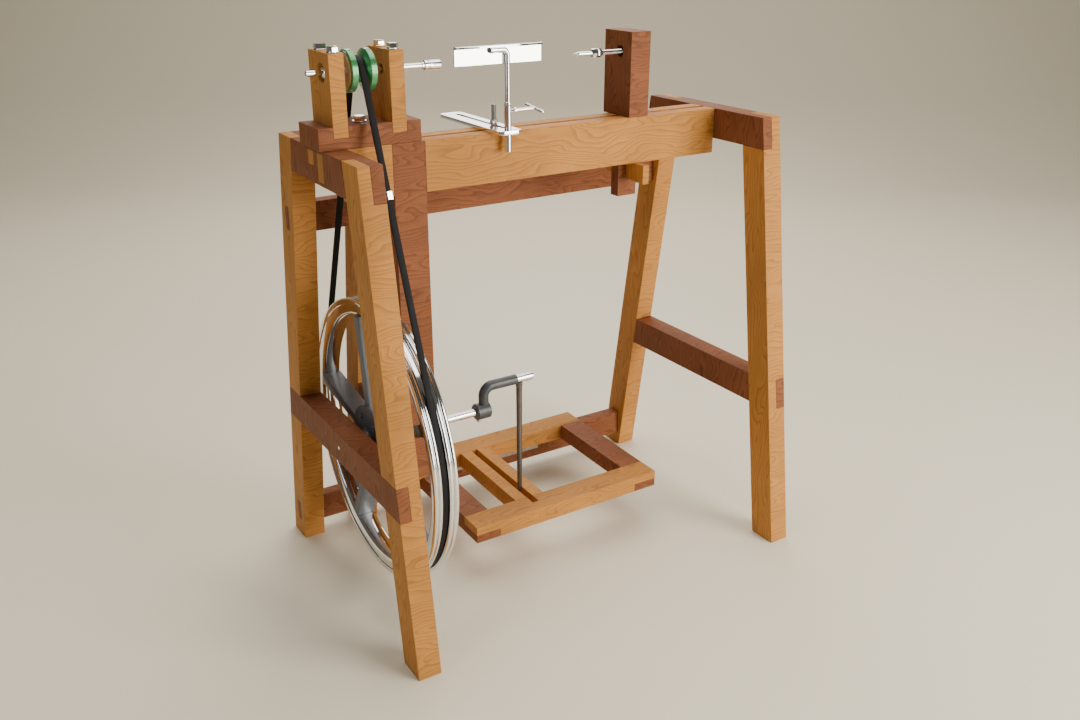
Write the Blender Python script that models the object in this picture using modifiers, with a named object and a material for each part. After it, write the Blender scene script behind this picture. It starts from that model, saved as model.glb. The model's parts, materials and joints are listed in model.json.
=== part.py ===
"""Treadle wood lathe: an oak and mahogany bed on splayed legs, driven by foot.

Metres, +Z up. X runs along the bed, Y from the turner's side to the back, Z from the floor.
Every X below is measured from the outer face of the left end frame, Y from the middle of the
bed, and one empty moves the whole lathe so that the origin is the centre of its footprint.
"""
import math

import bmesh
import bpy
from mathutils import Matrix, Vector

GAP = 0.0003                      # between two pieces that touch

# End frames
FRAME_LENGTH = 0.902              # outer face to outer face
LEG_THICKNESS = 0.045             # along X
LEG_WIDTH = 0.061                 # along Y, at any height
FOOT_REACH = 0.312                # bed middle to a leg's outer edge, at the floor
TOP_REACH = 0.178                 # the same at the top of the leg
BED_TOP = 0.900
TOP_RAIL_Z = (0.839, BED_TOP)
MID_RAIL_Z = (0.301, 0.364)
RIGHT_FACE = FRAME_LENGTH

# Bed: two rails with a slot between them
BED_BOTTOM = 0.809
BED_SLOT = 0.0114
BED_WIDTH = 0.073
BED_TENON_THICKNESS = 0.026
BED_TENON_Z = {"front": (0.845, 0.895), "rear": (0.869, 0.895)}

# Rear stretchers, tenoned through the rear legs
UPPER_STRETCHER_Y = (0.157, 0.187)
UPPER_STRETCHER_Z = (0.713, 0.770)
LOWER_STRETCHER_Y = (0.257, 0.287)
LOWER_STRETCHER_Z = (0.033, 0.090)
STRETCHER_SHOULDER = 0.006        # from stretcher face to tenon face, all round

# Inner frame, which carries the axle's second bearing
INNER_X = (0.127, 0.190)
INNER_LEG_X = (0.127, 0.172)
INNER_POST_BOTTOM = 0.243
CHEEK = 0.012                     # depth of the post's cheeks in the bed rails
BRACE_X = (0.133, 0.172)
BRACE_FOOT_Z = (0.038, 0.095)

# Axle, flywheel and crank
AXLE_Z = sum(MID_RAIL_Z) / 2
AXLE_RADIUS = 0.008
AXLE_END = 0.328
AXLE_STUB_RADIUS = 0.004          # turned down where it passes through the left rail
BUSH_RADIUS = 0.013
BUSH_SEAT_X = 0.012               # floor of the left bush's seat, from the rail's outer face
BORE_CLEARANCE = 0.0004
BELT_X = 0.0866
WHEEL_X = (0.064, 0.112)
WHEEL_RADIUS = 0.277
WHEEL_GROOVE_RADIUS = 0.267
RIM_INNER_RADIUS = 0.245
RIM_STEPS = 64
SPOKES = 5
SPOKE_SECTION = (0.040, 0.020)    # along the axle, across the spoke
FIRST_SPOKE_ANGLE = 9.5
HUB_FLANGE_RADIUS = 0.070
HUB_BOLT_CIRCLE = 0.050
FIRST_BOLT_ANGLE = 58.0
HUB_RADIUS = 0.034
HUB_BOSS_RADIUS = 0.020
CRANK_X = 0.317
CRANK_THROW = 0.0515
CRANK_BAR_RADIUS = 0.0105
CRANK_BEND = 0.020
CRANK_BAR_END = 0.3935
CRANK_BOSS_X = 0.297
CRANK_BOSS_RADIUS = 0.017
PIN_HEAD_X = 0.4315
PIN_HEAD_RADIUS = 0.0075
CRANK_PIN_RADIUS = 0.005
PITMAN_X = 0.402
PITMAN_BOTTOM = 0.118
PITMAN_SLEEVE_RADIUS = 0.0085

# Headstock
BASE_X = (-0.005, 0.184)
BASE_Y = (-0.0365, 0.053)
BASE_TOP = 0.938
TRENCH_FLOOR = 0.919
POST_THICKNESS = 0.027
POST_LEFT_X = 0.022
POST_RIGHT_X = 0.130
POST_Y = (-0.0365, 0.053)
POST_TOP = 1.0565
POST_BOLTS_Y = (-0.0225, 0.032)
SPINDLE_Z = 1.0227
SPINDLE_RADIUS = 0.005
SPINDLE_X = (-0.0045, 0.211)
NOSE_END = 0.242
NOSE_RADIUS = 0.0085
BEARING_RADIUS = 0.016
BEARING_WIDTH = 0.010
HOLD_DOWN_X = 0.085
HOLD_DOWN_RADIUS = 0.005
POST_BOLT_RADIUS = 0.004
WASHER_THICKNESS = 0.0015
HEAD_SHARE = 0.45                 # a bolt head's height, as a share of its width across flats
RECESS_DEPTH = 0.010              # from a post's outer face to its bearing
LOCK_COLLAR_X = (0.0245, 0.0312)
LOCK_COLLAR_RADIUS = 0.0093

# Drive
PULLEY_RADIUS = 0.0355
PULLEY_FLOOR_RADIUS = 0.0205
PULLEY_X = (0.0615, 0.1115)
PULLEY_MOUTH_HALF = 0.0118        # half the width of its groove at the rims
CHANNEL_HALF = 0.0066             # half the width of the flat that the belt runs on
BELT_WIDTH = 0.012
BELT_THICKNESS = 0.004
BELT_CLIP_Z = 0.828
CLIP_LENGTH = 0.014
CLIP_WALL = 0.0012

# Treadle
TREADLE_X = (0.243, 0.6985)
TREADLE_Y = (-0.0946, 0.2558)
TREADLE_Z = (0.095, 0.1305)
HINGE_KNUCKLES = 5
TREADLE_TILT = 1.0                # degrees that the front edge hangs down at rest
TREADLE_BOARD = 0.0536
TREADLE_SIDE = 0.0555
SLAT_WIDTH = 0.027
SLAT_SLOT = 0.015
SLAT_MIDDLE_X = 0.4007
SLAT_TENON = 0.012
PITMAN_NOTCH_Y = -0.0665
HINGE_PIVOT = (0.2532, 0.091)     # Y, Z
HINGE_X = (0.330, 0.610)

# Tool rest
REST_BASE_X = (0.323, 0.371)
REST_BASE_Y = (-0.071, 0.168)
REST_BASE_THICKNESS = 0.007
REST_SLOT_Y = (-0.040, 0.146)
REST_SLOT_HALF = 0.0050
REST_CLAMP_SIZE = (0.040, 0.032, 0.005)
REST_STUD_X = 0.351
REST_STUD_TOP = 0.945
REST_STUD_RADIUS = 0.0047
REST_POST = (0.350, -0.052)       # X, Y
REST_POST_RADIUS = 0.0048
REST_SLEEVE_Z = (0.867, 0.956)
REST_SLEEVE_RADIUS = 0.0064
REST_BAR_X = (0.247, 0.4235)
REST_BAR_Z = (1.022, 1.055)
REST_BAR_THICKNESS = 0.003
REST_LIP = (0.006, 0.004)         # how far the bar's top lip stands out, and its thickness
REST_RUN = 0.034                  # of the post along the bar, past its bend
REST_HANDLE_Z = 0.940
REST_HANDLE_REACH = 0.057         # post's axis to the cross bar
REST_CROSS_BAR = 0.060
REST_CROSS_TILT = 6.0             # degrees that its front end hangs down
STAR_NUT_HEIGHT = 0.010
STAR_NUT_RADIUS = 0.0062

# Tailstock
TAIL_X = (0.636, 0.682)
TAIL_Y = (-0.0365, 0.050)
TAIL_TOP = 1.061
TONGUE_X = (0.632, 0.677)
TONGUE_BOTTOM = 0.739
TONGUE_HALF = 0.012
TONGUE_MORTISE = 0.020
TAIL_SCREW_RADIUS = 0.0043
TAIL_COLLAR_WIDTH = 0.0155
TAIL_RECESS = (0.016, 0.0115)     # depth, radius
TAIL_POINT_X = 0.524
TAIL_COLLAR_X = (0.569, 0.590)
TAIL_SCREW_END = 0.694
WEDGE_X = (0.652, 0.667)
WEDGE_Y = (-0.067, 0.055)
WEDGE_BOTTOM = (0.771, 0.778)     # at the turner's side, at the back

OAK = ("oak", (0.62, 0.36, 0.13), 0.5, 0.0)
MAHOGANY = ("mahogany", (0.30, 0.12, 0.06), 0.5, 0.0)
CHROME = ("chrome", (0.85, 0.85, 0.86), 0.12, 1.0)
STEEL = ("steel", (0.45, 0.46, 0.48), 0.3, 1.0)
SLATE = ("slate_paint", (0.13, 0.15, 0.17), 0.45, 0.2)
GREEN = ("green_paint", (0.06, 0.28, 0.14), 0.3, 0.7)
RUBBER = ("belt_rubber", (0.012, 0.012, 0.014), 0.6, 0.0)

for old in list(bpy.data.objects):
    bpy.data.objects.remove(old, do_unlink=True)

LATHE = bpy.data.collections.new("treadle_wood_lathe")
CUTTERS = bpy.data.collections.new("cutters")
bpy.context.scene.collection.children.link(LATHE)
bpy.context.scene.collection.children.link(CUTTERS)


# ---------------------------------------------------------------- bodies and materials

PIVOTS = {}


def add_pivot(name, at, parent=None, tilt=0.0):
    """An empty on a joint's axis. Pieces of that body are parented to it."""
    empty = bpy.data.objects.new(name, None)
    LATHE.objects.link(empty)
    start = PIVOTS[parent][1] if parent else Vector((0.0, 0.0, 0.0))
    empty.parent = PIVOTS[parent][0] if parent else None
    empty.location = Vector(at) - start
    empty.rotation_euler.x = math.radians(tilt)
    PIVOTS[name] = (empty, Vector(at))


def add_pivots():
    datum = bpy.data.objects.new("left_face_datum", None)
    datum.location.x = -(BASE_X[0] + FRAME_LENGTH) / 2
    LATHE.objects.link(datum)
    PIVOTS["frame"] = (datum, Vector((0.0, 0.0, 0.0)))
    add_pivot("flywheel_axis", (BELT_X, 0.0, AXLE_Z), "frame")
    add_pivot("spindle_axis", (BELT_X, 0.0, SPINDLE_Z), "frame")
    add_pivot("crank_pin_axis", (PITMAN_X, 0.0, AXLE_Z + CRANK_THROW), "flywheel_axis")
    add_pivot("treadle_axis", (0.0, *HINGE_PIVOT), "frame", TREADLE_TILT)
    add_pivot("rest_clamp_slide", (REST_STUD_X, 0.0, BED_BOTTOM), "frame")
    add_pivot("rest_stud_axis", (REST_STUD_X, 0.0, BED_TOP), "rest_clamp_slide")
    add_pivot("rest_base_slide", (REST_STUD_X, 0.0, BED_TOP), "rest_stud_axis")
    add_pivot("rest_post_slide", (*REST_POST, BED_TOP), "rest_base_slide")
    add_pivot("rest_handle_axis", (*REST_POST, REST_HANDLE_Z), "rest_base_slide")
    add_pivot("star_nut_axis", (REST_STUD_X, 0.0, BED_TOP), "rest_stud_axis")
    add_pivot("tailstock_slide", (sum(TAIL_X) / 2, 0.0, BED_TOP), "frame")
    add_pivot("tail_screw_slide", (sum(TAIL_X) / 2, 0.0, SPINDLE_Z), "tailstock_slide")
    add_pivot("wedge_slide", (sum(WEDGE_X) / 2, 0.0, BED_BOTTOM), "tailstock_slide")


def material_named(spec):
    name, colour, roughness, metallic = spec
    if name in bpy.data.materials:
        return bpy.data.materials[name]
    material = bpy.data.materials.new(name)
    material.use_nodes = True
    shader = material.node_tree.nodes["Principled BSDF"]
    shader.inputs["Base Color"].default_value = (*colour, 1.0)
    shader.inputs["Roughness"].default_value = roughness
    shader.inputs["Metallic"].default_value = metallic
    return material


def finish(obj, name, spec, pivot, at=(0.0, 0.0, 0.0)):
    """Name a piece and put it at a place, given in the frame's coordinates, on its pivot."""
    empty, pivot_at = PIVOTS[pivot]
    obj.name = name
    obj.data.name = name
    obj.data.materials.clear()
    obj.data.materials.append(material_named(spec))
    obj.parent = empty
    obj.location = Vector(at) - pivot_at
    for collection in list(obj.users_collection):
        collection.objects.unlink(obj)
    LATHE.objects.link(obj)
    return obj


# ---------------------------------------------------------------- shapes

def solid_from(obj):
    """The evaluated mesh of an object as a new object, with its ends welded shut."""
    bpy.context.view_layer.update()
    depsgraph = bpy.context.evaluated_depsgraph_get()
    mesh = bpy.data.meshes.new_from_object(obj.evaluated_get(depsgraph))
    bpy.data.objects.remove(obj, do_unlink=True)
    work = bmesh.new()
    work.from_mesh(mesh)
    bmesh.ops.remove_doubles(work, verts=work.verts, dist=0.00001)
    bmesh.ops.recalc_face_normals(work, faces=work.faces)
    work.to_mesh(mesh)
    work.free()
    return bpy.data.objects.new("solid", mesh)


def smooth(obj, angle=35.0):
    obj.data.shade_smooth()
    obj.data.set_sharp_from_angle(angle=math.radians(angle))
    return obj


def box(x, y, z):
    """A box between two corners, with its own centre as origin."""
    low = Vector((x[0], y[0], z[0]))
    high = Vector((x[1], y[1], z[1]))
    bpy.ops.mesh.primitive_cube_add(size=1.0)
    obj = bpy.context.object
    obj.data.transform(Matrix.Translation((low + high) / 2) @ Matrix.Diagonal((*(high - low), 1.0)))
    return obj


def add_box(name, x, y, z, spec, pivot="frame"):
    return finish(box(x, y, z), name, spec, pivot)


PLANES = {
    "x": Matrix(((0, 0, 1, 0), (1, 0, 0, 0), (0, 1, 0, 0), (0, 0, 0, 1))),
    "y": Matrix(((1, 0, 0, 0), (0, 0, -1, 0), (0, 1, 0, 0), (0, 0, 0, 1))),
    "z": Matrix.Identity(4),
}


def slab(loops, along, axis="x"):
    """Flat outlines, filled and extruded between two places along an axis.

    An outline's points are (Y, Z) across X, (X, Z) across Y and (X, Y) across Z. A second
    loop inside the first is a hole.
    """
    low, high = sorted(along)
    curve = bpy.data.curves.new("outline", "CURVE")
    curve.dimensions = "2D"
    curve.fill_mode = "BOTH"
    curve.extrude = (high - low) / 2
    for loop in loops:
        spline = curve.splines.new("POLY")
        spline.points.add(len(loop) - 1)
        for point, (u, v) in zip(spline.points, loop):
            point.co = (u, v, 0.0, 1.0)
        spline.use_cyclic_u = True
    flat = bpy.data.objects.new("outline", curve)
    LATHE.objects.link(flat)
    obj = solid_from(flat)
    turn = PLANES[axis]
    middle = (low + high) / 2 * (-1.0 if axis == "y" else 1.0)
    obj.data.transform(turn @ Matrix.Translation((0.0, 0.0, middle)))
    return obj


AXES = {
    "x": Matrix.Rotation(math.radians(90.0), 4, "Y"),
    "y": Matrix.Rotation(math.radians(-90.0), 4, "X"),
    "z": Matrix.Identity(4),
}


def turned(profile, centre, axis="x", steps=32, closed=False):
    """A turned piece. The profile is (distance along the axis, radius), far end first.

    A solid's profile starts and ends on the axis; a ring's is a closed loop.
    """
    mesh = bpy.data.meshes.new("profile")
    work = bmesh.new()
    points = [work.verts.new((radius, 0.0, along)) for along, radius in profile]
    for first, second in zip(points, points[1:]):
        work.edges.new((first, second))
    if closed:
        work.edges.new((points[-1], points[0]))
    work.to_mesh(mesh)
    work.free()
    spun = bpy.data.objects.new("profile", mesh)
    LATHE.objects.link(spun)
    screw = spun.modifiers.new("Screw", "SCREW")
    screw.steps = steps
    screw.render_steps = steps
    screw.use_merge_vertices = True
    screw.merge_threshold = 0.00001
    obj = solid_from(spun)
    obj.data.transform(Matrix.Translation(centre) @ AXES[axis])
    return smooth(obj)


def rod(low, high, radius, centre, axis="x", steps=24):
    """A round bar between two places along an axis."""
    return turned([(high, 0.0), (high, radius), (low, radius), (low, 0.0)], centre, axis, steps)


def ring(low, high, outer, inner, centre, axis="x", steps=32):
    """A round sleeve between two places along an axis."""
    profile = [(high, inner), (high, outer), (low, outer), (low, inner)]
    return turned(profile, centre, axis, steps, closed=True)


def bent_bar(points, radius):
    """A round bar along a path of points."""
    curve = bpy.data.curves.new("path", "CURVE")
    curve.dimensions = "3D"
    curve.bevel_depth = radius
    curve.bevel_resolution = 4
    curve.use_fill_caps = True
    spline = curve.splines.new("POLY")
    spline.points.add(len(points) - 1)
    for point, place in zip(spline.points, points):
        point.co = (*place, 1.0)
    path = bpy.data.objects.new("path", curve)
    LATHE.objects.link(path)
    return smooth(solid_from(path), 50.0)


def polygon(sides, across_flats, turn=0.0):
    """A regular outline, such as a hexagon's, about (0, 0)."""
    radius = across_flats / 2 / math.cos(math.pi / sides)
    angles = [math.radians(turn) + 2 * math.pi * i / sides for i in range(sides)]
    return [(radius * math.cos(angle), radius * math.sin(angle)) for angle in angles]


def moved(outline, u, v):
    return [(a + u, b + v) for a, b in outline]


def arc(centre, radius, start, stop, steps):
    """Points on an arc, angles in degrees."""
    points = []
    for i in range(steps + 1):
        angle = math.radians(start + (stop - start) * i / steps)
        points.append((centre[0] + radius * math.cos(angle), centre[1] + radius * math.sin(angle)))
    return points


def rounded_rectangle(u, v, radius, steps=4):
    corners = [(u[1] - radius, v[0] + radius, -90.0), (u[1] - radius, v[1] - radius, 0.0),
               (u[0] + radius, v[1] - radius, 90.0), (u[0] + radius, v[0] + radius, 180.0)]
    points = []
    for a, b, start in corners:
        points += arc((a, b), radius, start, start + 90.0, steps)
    return points


# ---------------------------------------------------------------- cutting and joining

def combine(target, tool, operation):
    """A Boolean on a placed piece. The tool shares the target's coordinates."""
    tool.parent = target.parent
    tool.location = target.location
    tool.name = f"{target.name}_{operation.lower()}"
    for collection in list(tool.users_collection):
        collection.objects.unlink(tool)
    CUTTERS.objects.link(tool)
    tool.display_type = "WIRE"
    tool.hide_render = True
    modifier = target.modifiers.new(operation.title(), "BOOLEAN")
    modifier.operation = operation
    modifier.solver = "EXACT"
    modifier.object = tool
    return target


def cut(target, *tools):
    for tool in tools:
        combine(target, tool, "DIFFERENCE")
    return target


def join(target, *tools):
    for tool in tools:
        combine(target, tool, "UNION")
    return target


def grown(span, amount):
    return (min(span) - amount, max(span) + amount)


# ---------------------------------------------------------------- frame

def outer_edge(z):
    """Distance from the bed's middle to a leg's outer edge at a height."""
    return FOOT_REACH + (TOP_REACH - FOOT_REACH) * z / BED_TOP


def leg_outline(side, z=(0.0, BED_TOP), clearance=0.0):
    inner = LEG_WIDTH + clearance
    points = [(outer_edge(z[0]), z[0]), (outer_edge(z[1]), z[1]),
              (outer_edge(z[1]) - inner, z[1]), (outer_edge(z[0]) - inner, z[0])]
    return [(side * y, height) for y, height in points]


def rail_outline(z):
    return [(-outer_edge(z[0]), z[0]), (outer_edge(z[0]), z[0]),
            (outer_edge(z[1]), z[1]), (-outer_edge(z[1]), z[1])]


def across_frame(face, inward, near, far):
    """X of two planes at depths from an end frame's outer face."""
    return tuple(sorted((face + inward * near, face + inward * far)))


def stretcher_tenon(y, z, clearance):
    return (grown(y, clearance - STRETCHER_SHOULDER), grown(z, clearance - STRETCHER_SHOULDER))


def add_end_frame(side_name, face, inward):
    """Two splayed legs, a top rail lapped into their inner half and a mid rail into the outer."""
    half = LEG_THICKNESS / 2
    whole = across_frame(face, inward, 0.0, LEG_THICKNESS)
    beyond = 0.004
    outer_half = across_frame(face, inward, -beyond, half)
    inner_half = across_frame(face, inward, half, LEG_THICKNESS + beyond)
    wide = (-FOOT_REACH, FOOT_REACH)

    for end, side in (("front", -1.0), ("rear", 1.0)):
        leg = finish(slab([leg_outline(side)], whole), f"{end}_{side_name}_leg", OAK, "frame")
        cut(leg, box(grown(inner_half, GAP / 2), wide, (TOP_RAIL_Z[0] - GAP, BED_TOP + beyond)))
        cut(leg, box(grown(outer_half, GAP / 2), wide, grown(MID_RAIL_Z, GAP)))
        if side > 0:
            for y, z in ((UPPER_STRETCHER_Y, UPPER_STRETCHER_Z), (LOWER_STRETCHER_Y, LOWER_STRETCHER_Z)):
                cut(leg, box(grown(whole, beyond), *stretcher_tenon(y, z, GAP)))

    rails = (("top", TOP_RAIL_Z, outer_half), ("mid", MID_RAIL_Z, inner_half))
    for level, z, leg_half in rails:
        rail = finish(slab([rail_outline(z)], whole), f"{side_name}_{level}_rail", MAHOGANY, "frame")
        for side in (-1.0, 1.0):
            notch = leg_outline(side, grown(z, 0.03), GAP)
            outward = [(y + side * 0.05 if i < 2 else y, height) for i, (y, height) in enumerate(notch)]
            cut(rail, slab([outward], grown(leg_half, GAP / 2)))
        if level == "top":
            for side in (-1.0, 1.0):
                tenon_z = BED_TENON_Z["front" if side < 0 else "rear"]
                cut(rail, box(grown(whole, beyond), grown(bed_tenon_y(side), GAP), grown(tenon_z, GAP)))


def bed_rail_y(side):
    return tuple(sorted((side * BED_SLOT / 2, side * BED_WIDTH / 2)))


def bed_tenon_y(side):
    middle = sum(bed_rail_y(side)) / 2
    return (middle - BED_TENON_THICKNESS / 2, middle + BED_TENON_THICKNESS / 2)


def add_bed():
    body_x = (LEG_THICKNESS + GAP, FRAME_LENGTH - LEG_THICKNESS - GAP)
    for end, side in (("front", -1.0), ("rear", 1.0)):
        rail = add_box(f"{end}_bed_rail", body_x, bed_rail_y(side), (BED_BOTTOM, BED_TOP), OAK)
        join(rail, box((0.0, FRAME_LENGTH), bed_tenon_y(side), BED_TENON_Z[end]))
        outside = side * BED_WIDTH / 2
        housing = tuple(sorted((outside - side * (CHEEK + GAP), outside + side * 0.01)))
        cut(rail, box(grown(INNER_X, GAP), housing, grown((BED_BOTTOM, BED_TOP), 0.01)))


def add_stretchers():
    body_x = (LEG_THICKNESS + GAP, FRAME_LENGTH - LEG_THICKNESS - GAP)
    members = (("upper_stretcher", UPPER_STRETCHER_Y, UPPER_STRETCHER_Z),
               ("lower_stretcher", LOWER_STRETCHER_Y, LOWER_STRETCHER_Z))
    for name, y, z in members:
        stretcher = add_box(name, body_x, y, z, MAHOGANY)
        join(stretcher, box((0.0, FRAME_LENGTH), *stretcher_tenon(y, z, 0.0)))


def add_inner_frame():
    half = BED_WIDTH / 2
    post = add_box("inner_post", INNER_X, (-half, half), (INNER_POST_BOTTOM, BED_TOP), MAHOGANY)
    fork = (-half + CHEEK, half - CHEEK)
    cut(post, box(grown(INNER_X, 0.01), fork, (BED_BOTTOM - GAP, BED_TOP + 0.01)))
    cut(post, rod(INNER_X[0] - 0.01, INNER_X[1] + 0.01, BUSH_RADIUS + GAP, (0.0, 0.0, AXLE_Z)))

    leg = finish(slab([leg_outline(1.0)], INNER_LEG_X), "inner_rear_leg", OAK, "frame")
    for y, z in ((UPPER_STRETCHER_Y, UPPER_STRETCHER_Z), (LOWER_STRETCHER_Y, LOWER_STRETCHER_Z)):
        cut(leg, box(grown(INNER_LEG_X, 0.01), grown(y, GAP), grown(z, GAP)))

    for name, z in (("inner_top_rail", TOP_RAIL_Z), ("inner_mid_rail", MID_RAIL_Z)):
        outline = [(half + GAP, z[0]), (outer_edge(z[0]) - LEG_WIDTH - GAP, z[0]),
                   (outer_edge(z[1]) - LEG_WIDTH - GAP, z[1]), (half + GAP, z[1])]
        finish(slab([outline], INNER_LEG_X), name, MAHOGANY, "frame")

    foot = [(outer_edge(z) - LEG_WIDTH - GAP, z) for z in BRACE_FOOT_Z]
    top = INNER_POST_BOTTOM - GAP
    finish(slab([[(-half, top), foot[0], foot[1], (half, top)]], BRACE_X), "inner_brace", OAK, "frame")


# ---------------------------------------------------------------- flywheel and crank

def add_axle_bushes():
    """The left bush sits in a blind seat, with a small hole on to the rail's outer face."""
    spans = (("left_axle_bush", (BUSH_SEAT_X + GAP, LEG_THICKNESS - GAP)),
             ("inner_axle_bush", (INNER_X[0] + GAP, INNER_X[1] - GAP)))
    for name, (low, high) in spans:
        sleeve = ring(low, high, BUSH_RADIUS, AXLE_RADIUS + BORE_CLEARANCE, (0.0, 0.0, AXLE_Z))
        finish(sleeve, name, STEEL, "frame")
    inside, outside = LEG_THICKNESS + 0.01, -0.01
    seat, hole = BUSH_RADIUS + GAP, AXLE_STUB_RADIUS + BORE_CLEARANCE
    bore = [(inside, 0.0), (inside, seat), (BUSH_SEAT_X, seat), (BUSH_SEAT_X, hole), (outside, hole),
            (outside, 0.0)]
    cut(bpy.data.objects["left_mid_rail"], turned(bore, (0.0, 0.0, AXLE_Z)))


def add_flywheel():
    centre = (0.0, 0.0, AXLE_Z)
    finish(turned(rim_profile(), centre, steps=RIM_STEPS, closed=True),
           "flywheel_rim", CHROME, "flywheel_axis")

    low, high = BELT_X - SPOKE_SECTION[0] / 2, BELT_X + SPOKE_SECTION[0] / 2
    bore = AXLE_RADIUS + BORE_CLEARANCE
    hub_profile = [(high + 0.010, bore), (high + 0.010, HUB_BOSS_RADIUS), (high, HUB_BOSS_RADIUS + 0.004),
                   (high - 0.006, HUB_RADIUS), (low + 0.004, HUB_RADIUS), (low + 0.002, HUB_FLANGE_RADIUS),
                   (low - 0.004, HUB_FLANGE_RADIUS), (low - 0.005, HUB_FLANGE_RADIUS - 0.001),
                   (low - 0.005, HUB_BOSS_RADIUS + 0.002), (low - 0.016, HUB_BOSS_RADIUS),
                   (low - 0.016, bore)]
    hub = turned(hub_profile, centre, steps=40, closed=True)
    spider = finish(hub, "flywheel_spider", SLATE, "flywheel_axis")
    reach = math.sqrt((RIM_INNER_RADIUS * math.cos(math.pi / RIM_STEPS) - GAP) ** 2
                      - (SPOKE_SECTION[1] / 2) ** 2)
    for i in range(SPOKES):
        angle = math.radians(FIRST_SPOKE_ANGLE + 360.0 * i / SPOKES)
        spoke = box((low, high), (0.030, reach), (-SPOKE_SECTION[1] / 2, SPOKE_SECTION[1] / 2))
        spoke.data.transform(Matrix.Translation(centre) @ Matrix.Rotation(angle, 4, "X"))
        join(spider, spoke)
    for i in range(SPOKES):
        angle = FIRST_BOLT_ANGLE + 360.0 * i / SPOKES
        bolt = moved(polygon(6, 0.010, angle), *arc((0.0, AXLE_Z), HUB_BOLT_CIRCLE, angle, angle, 1)[0])
        join(spider, slab([bolt], (low - 0.009, low - 0.003)))


def rim_profile():
    """Two beaded flanges with the belt's channel between them, (X, radius)."""
    bead_depth = 0.003
    left, right = WHEEL_X
    channel = (BELT_X - CHANNEL_HALF, BELT_X + CHANNEL_HALF)
    outline = []
    for low, high in ((channel[1], right), (left, channel[0])):
        middle = (low + high) / 2
        for bead_low, bead_high in ((middle, high), (low, middle)):
            width = bead_high - bead_low
            for share, depth in ((0.92, bead_depth), (0.75, 0.0007), (0.5, 0.0), (0.25, 0.0007),
                                 (0.08, bead_depth)):
                outline.append((bead_low + share * width, WHEEL_RADIUS - depth))
        if low == channel[1]:
            outline.append((channel[1], WHEEL_GROOVE_RADIUS))
            outline.append((channel[0], WHEEL_GROOVE_RADIUS))
    side = ((0.0005, 0.007), (0.0, 0.012), (0.0012, 0.020), (0.0042, 0.027), (0.0100, 0.032))
    outline += [(left + inset, WHEEL_RADIUS - depth) for inset, depth in side]
    outline += [(right - inset, WHEEL_RADIUS - depth) for inset, depth in reversed(side)]
    return outline


def add_crank():
    shoulder = BUSH_SEAT_X + 2 * GAP
    shaft = [(AXLE_END, 0.0), (AXLE_END, AXLE_RADIUS), (shoulder, AXLE_RADIUS),
             (shoulder, AXLE_STUB_RADIUS), (GAP, AXLE_STUB_RADIUS), (GAP, 0.0)]
    finish(turned(shaft, (0.0, 0.0, AXLE_Z), steps=24), "axle", CHROME, "flywheel_axis")

    top = AXLE_Z + CRANK_THROW
    bend = arc((CRANK_X + CRANK_BEND, top - CRANK_BEND), CRANK_BEND, 180.0, 90.0, 6)
    path = [(CRANK_X, 0.0, AXLE_Z)]
    path += [(x, 0.0, z) for x, z in bend]
    path += [(CRANK_BAR_END, 0.0, top)]
    arm = finish(bent_bar(path, CRANK_BAR_RADIUS), "crank_arm", SLATE, "flywheel_axis")
    join(arm, rod(CRANK_BOSS_X, AXLE_END, CRANK_BOSS_RADIUS, (0.0, 0.0, AXLE_Z), steps=32))
    bore = AXLE_RADIUS + BORE_CLEARANCE
    cut(arm, rod(CRANK_BOSS_X - 0.01, AXLE_END + 0.01, bore, (0.0, 0.0, AXLE_Z)))

    head = PIN_HEAD_X
    profile = [(head + 0.003, 0.0), (head + 0.003, PIN_HEAD_RADIUS - 0.001),
               (head + 0.002, PIN_HEAD_RADIUS), (head, PIN_HEAD_RADIUS), (head, CRANK_PIN_RADIUS),
               (CRANK_BAR_END + GAP, CRANK_PIN_RADIUS), (CRANK_BAR_END + GAP, 0.0)]
    finish(turned(profile, (0.0, 0.0, top), steps=24), "crank_pin", CHROME, "flywheel_axis")


def add_pitman():
    pin_z = AXLE_Z + CRANK_THROW
    outer = PITMAN_SLEEVE_RADIUS
    span = (CRANK_BAR_END + 0.0007, PIN_HEAD_X - 0.0005)
    sleeve = ring(*span, outer, CRANK_PIN_RADIUS + BORE_CLEARANCE, (0.0, 0.0, pin_z), steps=28)
    finish(sleeve, "pitman_sleeve", CHROME, "crank_pin_axis")
    top = pin_z - outer - GAP
    profile = [(top, 0.0), (top, 0.0065), (top - 0.012, 0.0070), (top - 0.030, 0.0062),
               (PITMAN_BOTTOM + 0.020, 0.0052), (PITMAN_BOTTOM + 0.003, 0.0050),
               (PITMAN_BOTTOM, 0.0040), (PITMAN_BOTTOM, 0.0)]
    finish(turned(profile, (PITMAN_X, 0.0, 0.0), "z", 16), "pitman_rod", STEEL, "crank_pin_axis")


# ---------------------------------------------------------------- treadle

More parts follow.
